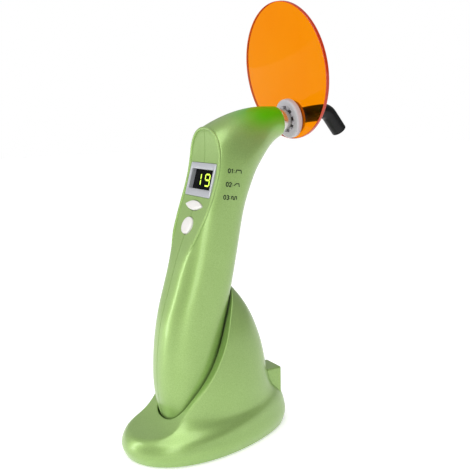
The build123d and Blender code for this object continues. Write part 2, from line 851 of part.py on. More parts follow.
socket_end = -socket_bore_length - socket_stop
with BuildPart() as guide_socket:
    with BuildSketch(head_along(socket_end)):
        Circle(socket_radius)
    extrude(amount=trim_ring_thickness - socket_end)
    with BuildSketch(head_along(socket_flange_start)):
        Circle(socket_flange_radius)
    extrude(amount=socket_flange_end - socket_flange_start)
    with BuildSketch(head_along(-socket_bore_length)):
        Circle(socket_bore)
    extrude(amount=socket_bore_length + trim_ring_thickness, mode=Mode.SUBTRACT)
    with BuildSketch(head_along(socket_end)):
        Circle(light_opening_radius)
    extrude(amount=socket_stop, mode=Mode.SUBTRACT)
guide_socket.part.label = "guide_socket"
export_step(guide_socket.part, "parts/guide_socket.step")

holder_start = socket_end - holder_length
with BuildPart() as lens_holder:
    with BuildSketch(head_along(holder_start)):
        Circle(socket_radius)
        Circle(lens_radius + glue_gap, mode=Mode.SUBTRACT)
    extrude(amount=holder_length)
lens_holder.part.label = "lens_holder"
export_step(lens_holder.part, "parts/lens_holder.step")

with BuildPart() as collimator_lens:
    with BuildSketch(head_along(socket_end - lens_setback - lens_length)):
        Circle(lens_radius)
    extrude(amount=lens_length)
    chamfer(collimator_lens.edges(), length=0.4)
collimator_lens.part.label = "collimator_lens"
export_step(collimator_lens.part, "parts/collimator_lens.step")

with BuildPart() as led_emitter:
    with BuildSketch(head_along(holder_start)):
        Rectangle(emitter_side, emitter_side)
    extrude(amount=emitter_thickness)
led_emitter.part.label = "led_emitter"
export_step(led_emitter.part, "parts/led_emitter.step")

with BuildPart() as led_star:
    with BuildSketch(head_along(holder_start - star_thickness)):
        Circle(socket_radius)
        with PolarLocations(socket_radius, 6):
            Circle(hub_slot_width, mode=Mode.SUBTRACT)
    extrude(amount=star_thickness)
led_star.part.label = "led_star"
export_step(led_star.part, "parts/led_star.step")

sink_front = holder_start - star_thickness
fin_pitch = sink_length / (sink_fins + 1)
with BuildPart() as heat_sink:
    with BuildSketch(head_along(sink_front - sink_length)):
        Circle(socket_radius)
    extrude(amount=sink_length)
    for fin in range(sink_fins):
        with BuildSketch(head_along(sink_front - (fin + 1) * fin_pitch - sink_fin_gap / 2)):
            Circle(socket_radius + glue_gap)
            Circle(sink_core, mode=Mode.SUBTRACT)
        extrude(amount=sink_fin_gap, mode=Mode.SUBTRACT)
heat_sink.part.label = "heat_sink"
export_step(heat_sink.part, "parts/heat_sink.step")

# Light guide: ferrule with its seal, and the bent rod through it
with BuildPart() as guide_ferrule:
    with BuildSketch(head_along(-shank_length)):
        Circle(ferrule_radius)
    extrude(amount=shank_length + ferrule_end)
    with BuildSketch(head_along(collar_start)):
        Circle(collar_radius)
    extrude(amount=collar_end - collar_start)
    chamfer(guide_ferrule.edges().filter_by(GeomType.CIRCLE).group_by(SortBy.RADIUS)[-1], length=collar_edge)
    with BuildSketch(head_along(seal_place - seal_groove_width / 2)):
        Circle(ferrule_radius)
        Circle(ferrule_radius - seal_groove_depth, mode=Mode.SUBTRACT)
    extrude(amount=seal_groove_width, mode=Mode.SUBTRACT)
    with BuildSketch(head_along(-shank_length)):
        Circle(rod_radius + rod_fit)
    extrude(amount=shank_length + ferrule_end, mode=Mode.SUBTRACT)
guide_ferrule.part.label = "guide_ferrule"
export_step(guide_ferrule.part, "parts/guide_ferrule.step")

with BuildPart() as guide_seal:
    with Locations(head_along(seal_place)):
        Torus(ferrule_radius - seal_section, seal_section)
guide_seal.part.label = "guide_seal"
export_step(guide_seal.part, "parts/guide_seal.step")

tip_angle = radians(head_rise - rod_bend)
rod_line_start = head_along(rod_start).origin
rod_line_corner = head_along(rod_corner).origin
with BuildPart() as guide_rod:
    with BuildLine(Plane.XZ) as rod_path:
        FilletPolyline(
            (rod_line_start.X, rod_line_start.Z),
            (rod_line_corner.X, rod_line_corner.Z),
            (rod_line_corner.X + rod_tip_length * cos(tip_angle),
             rod_line_corner.Z + rod_tip_length * sin(tip_angle)),
            radius=rod_bend_radius,
        )
    with BuildSketch(head_along(rod_start)):
        Circle(sheath_radius)
    sweep(path=rod_path.wires()[0])
    chamfer(guide_rod.edges().filter_by(GeomType.CIRCLE), length=rod_edge)
    with BuildSketch(head_along(rod_start)):
        Circle(sheath_radius)
        Circle(rod_radius, mode=Mode.SUBTRACT)
    extrude(amount=sheath_start - rod_start, mode=Mode.SUBTRACT)
guide_rod.part.label = "guide_rod"
export_step(guide_rod.part, "parts/guide_rod.step")

# Eye shield: gripping hub, orange disc set off to one side, clip behind it
disc_centre = (disc_offset * cos(radians(disc_turn)), -disc_offset * sin(radians(disc_turn)))
with BuildPart() as shield_hub:
    with BuildSketch(head_along(hub_start)):
        Circle(hub_radius)
    extrude(amount=hub_end - hub_start)
    fillet(shield_hub.edges(), radius=hub_edge)
    with BuildSketch(head_along(hub_end)):
        Circle(hub_spigot_radius)
    extrude(amount=disc_thickness + clip_thickness)
    with BuildSketch(head_along(hub_start)):
        Circle(ferrule_radius + running_fit)
    extrude(amount=hub_end - hub_start + disc_thickness + clip_thickness, mode=Mode.SUBTRACT)
    with BuildSketch(head_along(hub_start)):
        with PolarLocations((ferrule_radius + hub_grip_radius) / 2, hub_slots):
            Rectangle(hub_grip_radius - ferrule_radius, hub_slot_width)
    extrude(amount=hub_slot_depth, mode=Mode.SUBTRACT)
shield_hub.part.label = "shield_hub"
export_step(shield_hub.part, "parts/shield_hub.step")

with BuildPart() as shield_disc:
    with BuildSketch(head_along(hub_end)):
        with Locations(disc_centre):
            Circle(disc_radius)
    extrude(amount=disc_thickness)
    chamfer(shield_disc.edges(), length=disc_edge)
    with BuildSketch(head_along(hub_end)):
        Circle(hub_spigot_radius + glue_gap)
    extrude(amount=disc_thickness, mode=Mode.SUBTRACT)
shield_disc.part.label = "shield_disc"
export_step(shield_disc.part, "parts/shield_disc.step")

with BuildPart() as shield_clip:
    with BuildSketch(head_along(hub_end + disc_thickness)):
        Circle(clip_radius)
    extrude(amount=clip_thickness)
    chamfer(shield_clip.edges().group_by(Axis(head_plane.origin, head_plane.z_dir))[-1], length=clip_edge)
    with BuildSketch(head_along(hub_end + disc_thickness)):
        Circle(hub_spigot_radius + glue_gap)
    extrude(amount=clip_thickness, mode=Mode.SUBTRACT)
shield_clip.part.label = "shield_clip"
export_step(shield_clip.part, "parts/shield_clip.step")
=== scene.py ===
# %% [markdown]
# # A dental curing light in its charging cradle
# A cordless light that hardens tooth fillings: a pearl green handpiece, a bent light guide behind a
# round orange eye shield, and a cradle that charges it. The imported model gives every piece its
# place, in metres: +Z is up, the display looks along -X and the light guide points along +X.
# Each cell below makes one piece or one finish.

# %% Load the frame
import math
import bmesh
import bpy
import numpy as np
from mathutils import Matrix, Vector
from mathutils.bvhtree import BVHTree


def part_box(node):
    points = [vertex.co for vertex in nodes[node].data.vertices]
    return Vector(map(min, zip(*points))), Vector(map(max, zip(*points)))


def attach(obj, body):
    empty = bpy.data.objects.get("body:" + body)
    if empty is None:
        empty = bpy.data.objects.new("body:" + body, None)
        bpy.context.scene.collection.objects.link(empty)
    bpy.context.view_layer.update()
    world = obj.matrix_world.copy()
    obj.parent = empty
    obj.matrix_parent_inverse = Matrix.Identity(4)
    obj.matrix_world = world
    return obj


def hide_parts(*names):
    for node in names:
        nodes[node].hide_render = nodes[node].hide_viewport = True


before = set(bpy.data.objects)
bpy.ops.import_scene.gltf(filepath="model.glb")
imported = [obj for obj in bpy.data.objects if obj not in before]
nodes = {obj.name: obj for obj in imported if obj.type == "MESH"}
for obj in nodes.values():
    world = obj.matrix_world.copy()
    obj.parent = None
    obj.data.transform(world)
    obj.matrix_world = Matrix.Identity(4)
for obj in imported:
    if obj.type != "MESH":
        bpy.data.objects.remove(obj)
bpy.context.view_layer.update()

MM = 0.001

# %% [markdown]
# ## The camera
# The photograph was taken from the object's right front, a little above the middle. The place and
# the lens were worked out from the handpiece's seam, the round shield and the flat foot. They could
# be turned by hand until the edges meet, but a fit to all these edges at once is more exact.

# %% Camera
CAMERA_AZIMUTH = math.radians(-30.8)
CAMERA_HEIGHT = math.radians(9.95)
CAMERA_ROLL = math.radians(-1.25)
CAMERA_DISTANCE = 417.25
CAMERA_SIDE = -1.47
CAMERA_RISE = -116.63
CAMERA_ORIGIN_X = 16.115
SENSOR_WIDTH = 36.0
FOCAL_PIXELS, PICTURE_PIXELS = 694.87, 470


def camera_axes():
    """Right, up and back directions of the camera."""
    flat = math.cos(CAMERA_HEIGHT)
    back = Vector((math.sin(CAMERA_AZIMUTH) * flat, -math.cos(CAMERA_AZIMUTH) * flat,
                   math.sin(CAMERA_HEIGHT)))
    right = Vector((0, 0, 1)).cross(back).normalized()
    up = back.cross(right)
    c, s = math.cos(CAMERA_ROLL), math.sin(CAMERA_ROLL)
    return c * right + s * up, -s * right + c * up, back


right, up, back = camera_axes()
camera_data = bpy.data.cameras.new("camera")
camera_data.sensor_width = SENSOR_WIDTH
camera_data.lens = SENSOR_WIDTH * (FOCAL_PIXELS / PICTURE_PIXELS)
camera = bpy.data.objects.new("camera", camera_data)
bpy.context.scene.collection.objects.link(camera)
camera_place = back * CAMERA_DISTANCE - right * CAMERA_SIDE - up * CAMERA_RISE
camera_place.x += CAMERA_ORIGIN_X
camera.matrix_world = Matrix.Translation(camera_place * MM) @ Matrix(
    ((right.x, up.x, back.x), (right.y, up.y, back.y), (right.z, up.z, back.z))).to_4x4()
bpy.context.scene.camera = camera
print("camera at", [round(v, 1) for v in camera_place])

# %% [markdown]
# ## Meshes from formulas
# A moulded body like this one is a stack of rounded sections joined by smooth lines from end to end.
# Natural cubic splines through the sections' own numbers give a skin with no flats in it, finer than
# a CAD model's triangles, so a pearl paint shows no facets. Sculpting or a subdivided cage could give
# the same look, but not the same sizes.

# %% Spline and mesh helpers
def natural_spline(knots, values):
    """Function that passes smoothly through values at the knots. Values may have several columns."""
    knots = np.asarray(knots, float)
    values = np.asarray(values, float)
    if values.ndim == 1:
        values = values[:, None]
    count = len(knots)
    step = np.diff(knots)
    matrix = np.eye(count)
    target = np.zeros_like(values)
    for i in range(1, count - 1):
        matrix[i, i - 1:i + 2] = step[i - 1], 2 * (step[i - 1] + step[i]), step[i]
        slope = (values[i + 1] - values[i]) / step[i] - (values[i] - values[i - 1]) / step[i - 1]
        target[i] = 6 * slope
    bend = np.linalg.solve(matrix, target)

    def at(where):
        where = np.atleast_1d(np.asarray(where, float))
        i = np.clip(np.searchsorted(knots, where) - 1, 0, count - 2)
        h = step[i][:, None]
        a = (knots[i + 1] - where)[:, None] / h
        b = (where - knots[i])[:, None] / h
        curve = ((a ** 3 - a) * bend[i] + (b ** 3 - b) * bend[i + 1]) * h ** 2 / 6
        return a * values[i] + b * values[i + 1] + curve

    return at


def grid_faces(rows, columns, start=0, closed=False, flip=False):
    """Quads of a grid of points that is stored row by row."""
    faces = []
    last = columns if closed else columns - 1
    for r in range(rows - 1):
        for c in range(last):
            d = (c + 1) % columns
            quad = (start + r * columns + c, start + r * columns + d,
                    start + (r + 1) * columns + d, start + (r + 1) * columns + c)
            faces.append(quad[::-1] if flip else quad)
    return faces


def make_piece(name, points, faces, merge=0.0, sharp=35.0):
    """Object from points in millimetres, with smooth shading up to a sharp angle in degrees."""
    mesh = bpy.data.meshes.new(name)
    mesh.from_pydata([tuple(p) for p in np.asarray(points, float) * MM], [], faces)
    if merge:
        work = bmesh.new()
        work.from_mesh(mesh)
        bmesh.ops.remove_doubles(work, verts=work.verts, dist=merge * MM)
        bmesh.ops.recalc_face_normals(work, faces=work.faces)
        work.to_mesh(mesh)
        work.free()
    piece = bpy.data.objects.new(name, mesh)
    bpy.context.scene.collection.objects.link(piece)
    smooth(piece, sharp)
    return piece


def smooth(piece, sharp=35.0):
    """Smooth shading, with edges sharper than the angle left crisp."""
    piece.data.shade_smooth()
    piece.data.set_sharp_from_angle(angle=math.radians(sharp))


def cut(piece, cutter, operation="DIFFERENCE", sharp=35.0):
    """Boolean with another object, made final. The other object is removed."""
    modifier = piece.modifiers.new("cut", "BOOLEAN")
    modifier.operation = operation
    modifier.solver = "EXACT"
    modifier.object = cutter
    bake(piece)
    bpy.data.objects.remove(cutter)
    smooth(piece, sharp)


def bake(piece):
    """The piece's modifiers become its plain mesh."""
    graph = bpy.context.evaluated_depsgraph_get()
    mesh = bpy.data.meshes.new_from_object(piece.evaluated_get(graph))
    piece.modifiers.clear()
    piece.data = mesh


def count_triangles(piece):
    piece.data.calc_loop_triangles()
    return len(piece.data.loop_triangles)


def way_along(points):
    """Length from a line's first point to each of its points."""
    return np.concatenate([[0], np.cumsum(np.linalg.norm(np.diff(points, axis=0), axis=1))])


halfway = natural_spline([0, 1, 2], [0, 1, 4])(1.5).ravel()
print("spline through 0, 1 and 4, read between the last two:", halfway)

# %% [markdown]
# ## The handpiece
# Two moulded halves meet on the middle plane. Their outside is a stack of squared-off ovals from the
# tail, up the grip and round the neck to the round rim. A flat face for the display is cut into the
# front, and where it meets the body there is a soft ridge. A boolean cut would leave a sharp edge, so
# each section takes the shorter of two distances instead, with a rounded changeover between them.

# %% Handpiece sections
# front x and z, rear x and z, half width, squareness
HANDLE_RINGS = [
    (-26.6, 12.0, -6.4, 12.0, 12.0, 2.4),
    (-30.8, 30.0, -1.2, 30.0, 15.4, 2.4),
    (-31.0, 54.0, 4.6, 54.0, 17.2, 2.4),
    (-26.6, 80.0, 10.9, 80.0, 17.9, 2.4),
    (-19.3, 104.0, 16.2, 104.0, 18.2, 2.4),
    (-15.0, 124.0, 19.8, 122.0, 18.5, 2.4),
    (-11.6, 140.0, 22.9, 135.5, 18.7, 2.4),
    (-7.0, 157.0, 28.0, 148.5, 18.7, 2.4),
    (-3.2, 173.5, 32.6, 156.0, 18.0, 2.35),
    (8.6, 182.6, 38.0, 162.3, 15.4, 2.25),
    (22.0, 187.7, 43.2, 167.4, 12.2, 2.1),
    (36.0, 190.2, 47.8, 171.0, 9.9, 2.0),
]
HEAD_RISE = math.radians(9.1)
RIM = np.array((50.6, 0.0, 181.8))
RIM_RADIUS = 8.6
HEAD_OUT = np.array((math.cos(HEAD_RISE), 0.0, math.sin(HEAD_RISE)))
HEAD_UP = np.array((-math.sin(HEAD_RISE), 0.0, math.cos(HEAD_RISE)))
LEFT_WAY = np.array((0.0, 1.0, 0.0))
rim_front = RIM + RIM_RADIUS * HEAD_UP
rim_rear = RIM - RIM_RADIUS * HEAD_UP
HANDLE_RINGS.append((rim_front[0], rim_front[2], rim_rear[0], rim_rear[2], RIM_RADIUS, 2.0))

FACE_LINE = [
    (2.4, 190.0), (2.6, 180.0), (2.8, 170.0), (2.2, 161.0), (-3.1, 142.0), (-11.2, 122.5),
    (-17.8, 106.5), (-22.3, 93.0), (-27.5, 78.0), (-33.5, 62.0),
]
rings = np.array(HANDLE_RINGS)
middles = (rings[:, 0:2] + rings[:, 2:4]) / 2
ring_way = way_along(middles)
handle_ring_at = natural_spline(ring_way, rings)
HANDLE_WAY = ring_way[-1]

face_points = np.array(FACE_LINE[::-1])
face_at = natural_spline(face_points[:, 1], face_points[:, 0])
FACE_END_SLOPE = (face_points[1, 0] - face_points[0, 0]) / (face_points[1, 1] - face_points[0, 1])


def handle_frame(way):
    """Rings at stations along the handpiece, with their middles, depths and forward directions."""
    ring = handle_ring_at(way)
    front, rear = ring[:, 0:2], ring[:, 2:4]
    span = np.linalg.norm(front - rear, axis=1)
    return ring, (front + rear) / 2, span, (front - rear) / span[:, None]


def face_x(z):
    """Front face's x on the middle plane at a height."""
    z = np.asarray(z, float)
    inside = face_at(np.clip(z, face_points[0, 1], face_points[-1, 1]).ravel()).reshape(z.shape)
    below = np.minimum(z - face_points[0, 1], 0)
    return inside + FACE_END_SLOPE * below


def soft_min(a, b, width):
    """The smaller of two lengths, with a rounded changeover."""
    near = np.maximum(width - np.abs(a - b), 0) / width
    return np.minimum(a, b) - near ** 2 * width / 4


print("handpiece's middle line:", round(HANDLE_WAY, 1), "mm")

# %% [markdown]
# ## The handpiece's skin
# The sections are read at many stations, closer together at the rounded ends. The edges along the
# seam are set back a little, which leaves the fine groove between the halves. The same rows, drawn
# in by the wall, make the hollow.

# %% Handpiece skin
RIDGE_WIDTH = 1.4
SEAM_HALF = 0.11
SEAM_FLANK = 0.06
SEAM_SHOULDER = 0.6
SEAM_DEPTH = 0.35
TAIL_EDGE = 2.5
RIM_EDGE = 0.7
HOLLOW_TAIL_EDGE = 1.0
HOLLOW_RIM_EDGE = 0.01
HANDLE_WALL = 2.0
STATIONS_ALONG = 182
POINTS_ROUND = 190
CAP_ROWS = 6
EDGE_ROWS = 7
SEARCH_REACH = 30
FAR_AWAY = 1e3


def edge_inset(distance, radius):
    """How far a rounded edge draws a side in, at a distance from the end."""
    depth = np.clip(radius - distance, 0, radius)
    return radius - np.sqrt(np.maximum(radius ** 2 - depth ** 2, 0))


def face_reach(centre, forward, farthest):
    """Distance from each section's middle forward to the flat face, found by halving."""
    low = np.zeros(len(centre))
    high = farthest
    for _ in range(40):
        guess = (low + high) / 2
        x = centre[:, 0] + guess * forward[:, 0]
        z = centre[:, 1] + guess * forward[:, 1]
        outside = x < face_x(z)
        high = np.where(outside, guess, high)
        low = np.where(outside, low, guess)
    return (low + high) / 2


def half_section(half_depth, half_width, squareness, face, groove):
    """Points of half a section as distances ahead of its middle and to the right of it."""
    side = [0.0, SEAM_HALF, SEAM_HALF + SEAM_FLANK, SEAM_SHOULDER]
    near = [math.atan2(v, min(face, half_depth)) for v in side]
    far = [math.pi - math.atan2(v, half_depth) for v in side[::-1]]
    angles = np.concatenate([near, np.linspace(near[-1], far[0], POINTS_ROUND)[1:-1], far])
    ahead, aside = np.cos(angles), np.sin(angles)
    body = ((np.abs(ahead) / half_depth) ** squareness
            + (np.abs(aside) / half_width) ** squareness) ** (-1 / squareness)
    plane = np.where(ahead > 0.05, face / np.maximum(ahead, 0.05), FAR_AWAY)
    reach = soft_min(body, plane, RIDGE_WIDTH)
    if groove:
        reach[[0, 1, -2, -1]] -= SEAM_DEPTH
    return reach * ahead, reach * aside


def handle_rows(inset, groove):
    """Half sections of the handpiece's skin, or of its hollow, from tail to rim."""
    tail_edge, rim_edge = (HOLLOW_TAIL_EDGE, HOLLOW_RIM_EDGE) if inset else (TAIL_EDGE, RIM_EDGE)
    ease = np.linspace(0, math.pi / 2, EDGE_ROWS)
    tail = inset + TAIL_EDGE * (1 - np.cos(ease))
    head = HANDLE_WAY - RIM_EDGE * (1 - np.cos(ease[::-1]))
    way = np.concatenate([tail, np.linspace(tail[-1], head[0], STATIONS_ALONG)[1:-1], head])
    ring, centre, span, forward = handle_frame(way)
    edge = edge_inset(way - inset, tail_edge) + edge_inset(HANDLE_WAY - way, rim_edge)
    half_depth = span / 2 - inset - edge
    half_width = ring[:, 4] - inset - edge
    face = face_reach(centre, forward, half_depth + SEARCH_REACH) - inset
    rows = []
    for i in range(len(way)):
        ahead, aside = half_section(half_depth[i], half_width[i], ring[i, 5], face[i], groove)
        rows.append(np.stack([
            centre[i, 0] + ahead * forward[i, 0],
            -aside,
            centre[i, 1] + ahead * forward[i, 1],
        ], axis=1))
    rows = np.array(rows)
    shrink = np.linspace(0, 1, CAP_ROWS + 1)[:-1]
    tail_middle = np.array((centre[0, 0], 0.0, centre[0, 1]))
    cap = tail_middle + (rows[0] - tail_middle) * shrink[:, None, None]
    return np.concatenate([cap, rows])


def handle_half(name, side):
    """One moulded half, outside and inside, on the -Y side or mirrored to +Y."""
    outside = handle_rows(0.0, True)
    inside = handle_rows(HANDLE_WALL, False)
    row_count, column_count = outside.shape[:2]
    total = row_count * column_count
    points = np.concatenate([outside.reshape(-1, 3), inside.reshape(-1, 3)])
    points[:, 1] *= side
    faces = grid_faces(row_count, column_count)
    faces += grid_faces(row_count, column_count, start=total, flip=True)
    for r in range(row_count - 1):
        for c in (0, column_count - 1):
            a, b = r * column_count + c, (r + 1) * column_count + c
            quad = (a, b, b + total, a + total)
            faces.append(quad if c == 0 else quad[::-1])
    end = (row_count - 1) * column_count
    for c in range(column_count - 1):
        faces.append((end + c, end + c + 1, end + c + 1 + total, end + c + total))
    return make_piece(name, points, faces, merge=0.004)


shell_right = handle_half("handpiece_right", 1)
shell_left = handle_half("handpiece_left", -1)
print("handpiece half:", count_triangles(shell_right), "triangles")

# %% [markdown]
# ## The cradle
# Foot, fin and pocket are one moulding. Every point round its egg-shaped plan is followed in one
# profile: up the outside to the slanted lip, over the lip's rounded edge, across its narrow face and
# down the pocket's wall to the floor. The same rule, drawn in by the wall, gives the hollow inside.
# Booleans of three bodies would leave hard lines where the lip's edge should be round.

# %% Cradle sections
# height, rise to the rear, centre x, half length, half width, taper
BASE_RINGS = [
    (1.0, 0.0, 0.0, 50.5, 27.4, 0.25),
    (5.7, 0.01, 0.0, 52.3, 29.2, 0.25),
    (11.5, 0.035, 0.0, 51.6, 28.8, 0.25),
    (16.4, 0.065, 0.0, 49.2, 27.5, 0.22),
    (19.6, 0.08, 0.0, 46.2, 25.6, 0.16),
    (23.6, 0.065, 0.0, 42.8, 24.5, 0.08),
    (29.0, 0.03, 0.1, 40.4, 24.1, 0.03),
    (36.0, 0.0, 0.3, 38.2, 23.7, 0.0),
    (44.0, 0.0, 0.6, 36.2, 22.9, 0.0),
    (54.0, 0.0, 0.9, 33.9, 21.5, 0.0),
    (64.0, 0.0, 0.6, 31.0, 19.9, 0.0),
    (75.0, 0.0, -0.7, 27.4, 17.6, 0.0),
    (85.0, 0.0, -2.4, 22.3, 15.0, 0.0),
    (94.0, 0.0, -4.4, 16.3, 12.4, 0.0),
]
LIP_LINE = [
    (-50.0, 13.5), (-41.0, 15.2), (-33.5, 17.6), (-20.5, 31.0), (-12.2, 40.3), (-3.5, 52.0),
    (2.7, 64.1), (7.3, 76.4), (11.6, 86.5), (15.0, 98.0),
]
base_rings = np.array(BASE_RINGS)
base_ring_at = natural_spline(base_rings[:, 0], base_rings)
lip_points = np.array(LIP_LINE)
lip_way = way_along(lip_points)
lip_samples = natural_spline(lip_way, lip_points)(np.linspace(0, lip_way[-1], 600))
handle_samples = np.linspace(0, ring_way[4], 300)
handle_z = handle_ring_at(handle_samples)[:, 1]
POCKET_POWER = 2.4


def lip_z(x, inset=0.0):
    """Height of the slanted lip at an x, on the lip moved in by an inset."""
    return np.interp(x, lip_samples[:, 0] + inset, lip_samples[:, 1] - inset)


def base_wall_points(angle, heights, grow):
    """Outside of the foot and fin at one angle of its plan; angle 0 is the front."""
    ring = base_ring_at(heights)
    rise = ring[:, 1]
    along = (ring[:, 3] + grow) * math.cos(angle)
    across = (ring[:, 4] + grow) * math.sin(angle) * (1 + ring[:, 5] * math.cos(angle))
    norm = np.sqrt(1 + rise ** 2)
    return np.stack([ring[:, 2] - along / norm, -across, heights - along * rise / norm], axis=1)


def pocket_section(z, gap):
    """Centre x, half depth and half width of the pocket at a height."""
    low, high = handle_z[0], handle_z[-1]
    ring = handle_ring_at(np.interp(np.clip(z, low, high), handle_z, handle_samples))
    return (ring[:, 0] + ring[:, 2]) / 2, (ring[:, 2] - ring[:, 0]) / 2 + gap, ring[:, 4] + gap


def outside_base(points, grow):
    """Over 1 where a point lies outside the fin. Only used above the sloped rings."""
    ring = base_ring_at(points[:, 2])
    return (((points[:, 0] - ring[:, 2]) / (ring[:, 3] + grow)) ** 2
            + (points[:, 1] / (ring[:, 4] + grow)) ** 2)


def first_crossing(points, signal):
    """The points up to where the signal first turns positive, ending exactly there."""
    over = np.nonzero(signal > 0)[0]
    if len(over) == 0:
        return points
    k = max(over[0], 1)
    share = signal[k - 1] / (signal[k - 1] - signal[k])
    end = points[k - 1] + (points[k] - points[k - 1]) * share
    return np.concatenate([points[:k], end[None]])


def spaced(points, count, start=0.0, stop=0.0):
    """The same line with evenly spaced points, shortened at either end by a length."""
    way = way_along(points)
    where = np.linspace(start, way[-1] - stop, count)
    return np.stack([np.interp(where, way, points[:, i]) for i in range(3)], axis=1)


def corner(a, middle, b, count):
    """Rounded corner between two lines that meet at a point, without its two ends."""
    t = np.linspace(0, 1, count + 2)[1:-1, None]
    return (1 - t) ** 2 * a + 2 * t * (1 - t) * middle + t ** 2 * b


print("slanted lip:", round(lip_way[-1], 1), "mm long on the middle plane")

# %% [markdown]
# ## The cradle's skin
# Profiles at many angles of the plan run from the foot's edge to the middle of the pocket's floor.
# All have the same number of points, so the faces between them are plain quads.

# %% Cradle shell
POCKET_GAP = 0.9
POCKET_WALL = 2.0
BASE_WALL = 2.4
LIP_INSET = 2.1
POCKET_FLOOR = 11.7
WELL_FLOOR = 9.3
BASE_COLUMNS = 288
LIP_EDGE = 1.5
POCKET_EDGE = 0.9
SHARP_EDGE = 0.01
BASE_BOTTOM, FIN_START, FIN_TOP = 1.0, 30.0, 93.9
POCKET_START = 40.0
WALL_POINTS, FACE_POINTS, POCKET_POINTS, FLOOR_POINTS = 76, 12, 44, 6
LIP_CORNER_POINTS, CORNER_POINTS = 5, 4
CORNER_SHARE, WALL_SHARE = 0.45, 0.3
SHARES_TO_MM = 10


def outer_wall(angle, grow, inset, gap):
    """Outside at one angle, from the foot's edge up to the lip or to where the pocket cuts it."""
    heights = np.concatenate([
        np.linspace(BASE_BOTTOM, FIN_START, 260), np.linspace(FIN_START, FIN_TOP, 420)[1:]])
    wall = base_wall_points(angle, heights, grow)
    centre, depth, width = pocket_section(wall[:, 2], gap)
    inside_pocket = 1 - ((np.abs(wall[:, 0] - centre) / depth) ** POCKET_POWER
                         + (np.abs(wall[:, 1]) / width) ** POCKET_POWER)
    inside_pocket[wall[:, 2] < FIN_START] = -1
    above_lip = wall[:, 2] - lip_z(wall[:, 0], inset)
    return first_crossing(wall, np.maximum(above_lip, inside_pocket * SHARES_TO_MM))


def pocket_wall(top, grow, inset, gap, floor):
    """Pocket's wall across from the top of the outside, from the lip down to the floor."""
    centre, depth, width = pocket_section(top[2:3], gap)
    along = (centre[0] - top[0]) / depth[0]
    across = -top[1] / width[0]
    turn = math.atan2(math.copysign(abs(across) ** (POCKET_POWER / 2), across),
                      math.copysign(abs(along) ** (POCKET_POWER / 2), along))
    c, s = math.cos(turn), math.sin(turn)
    z = np.linspace(floor, FIN_TOP, 700)
    centre, depth, width = pocket_section(z, gap)
    pocket = np.stack([
        centre - depth * math.copysign(abs(c) ** (2 / POCKET_POWER), c),
        -width * math.copysign(abs(s) ** (2 / POCKET_POWER), s),
        z,
    ], axis=1)
    past = outside_base(pocket, grow) - 1
    past[z < POCKET_START] = -1
    above_lip = pocket[:, 2] - lip_z(pocket[:, 0], inset)
    return first_crossing(pocket, np.maximum(above_lip, past * SHARES_TO_MM))[::-1]


def base_profile(angle, grow, inset, gap, floor, edge, inner_edge):
    """One profile of the cradle: outside, lip, pocket wall and floor, with rounded corners."""
    wall = outer_wall(angle, grow, inset, gap)
    pocket = pocket_wall(wall[-1], grow, inset, gap, floor)
    top, inner_top = wall[-1], pocket[0]

    share = np.linspace(0, 1, 40)[:, None]
    face = top + (inner_top - top) * share
    face_length = way_along(face)[-1]
    on_lip = lip_z(face[:, 0], inset)
    if face_length > 0.5:
        ends = np.array((top[2] - on_lip[0], inner_top[2] - on_lip[-1]))
        face[:, 2] = on_lip + ends[0] * (1 - share[:, 0]) + ends[1] * share[:, 0]
    floor_middle = np.array((pocket_section(np.array([floor]), gap)[0][0], 0.0, floor))
    ground = pocket[-1] + (floor_middle - pocket[-1]) * share

    face_length = way_along(face)[-1]
    outer_cut = min(edge, CORNER_SHARE * face_length, WALL_SHARE * way_along(wall)[-1])
    inner_cut = min(inner_edge, CORNER_SHARE * face_length)
    a = spaced(wall, WALL_POINTS, 0, outer_cut)
    b = spaced(face, FACE_POINTS, outer_cut, inner_cut)
    c = spaced(pocket, POCKET_POINTS, inner_cut, inner_edge)
    d = spaced(ground, FLOOR_POINTS, inner_edge, 0)
    return np.concatenate([
        a, corner(a[-1], top, b[0], LIP_CORNER_POINTS), b,
        corner(b[-1], inner_top, c[0], CORNER_POINTS), c,
        corner(c[-1], pocket[-1], d[0], CORNER_POINTS), d,
    ])


def base_skin(grow, inset, gap, floor, edge, inner_edge):
    """All profiles round the cradle."""
    angles = np.linspace(0, 2 * math.pi, BASE_COLUMNS, endpoint=False)
    profiles = [base_profile(a, grow, inset, gap, floor, edge, inner_edge) for a in angles]
    return np.array(profiles).transpose(1, 0, 2)


base_outside = base_skin(0.0, 0.0, POCKET_GAP, POCKET_FLOOR, LIP_EDGE, POCKET_EDGE)
base_inside = base_skin(-BASE_WALL, LIP_INSET, POCKET_GAP + POCKET_WALL, WELL_FLOOR, SHARP_EDGE, SHARP_EDGE)
row_count = base_outside.shape[0]
base_total = row_count * BASE_COLUMNS
base_faces = grid_faces(row_count, BASE_COLUMNS, closed=True)
base_faces += grid_faces(row_count, BASE_COLUMNS, start=base_total, closed=True, flip=True)
for c in range(BASE_COLUMNS):
    d = (c + 1) % BASE_COLUMNS
    base_faces.append((c, c + base_total, d + base_total, d))
cradle = make_piece(
    "cradle_shell", np.concatenate([base_outside.reshape(-1, 3), base_inside.reshape(-1, 3)]),
    base_faces, merge=0.004)
print("cradle shell:", count_triangles(cradle), "triangles")

# %% [markdown]
# ## Openings in the front face
# The display frame and the two keys come up through openings in the shell. Their outlines are drawn
# flat, placed on a plane that leans as the face does there, and lofted to closed skins.

# %% Planes, outlines and lofts of outlines
def leaned_plane(x, z, lean):
    """Origin, right, up and outward directions of a plane on the front face."""
    a = math.radians(lean)
    return (np.array((x, 0.0, z)), np.array((0.0, -1.0, 0.0)),
            np.array((math.sin(a), 0.0, math.cos(a))), np.array((-math.cos(a), 0.0, math.sin(a))))


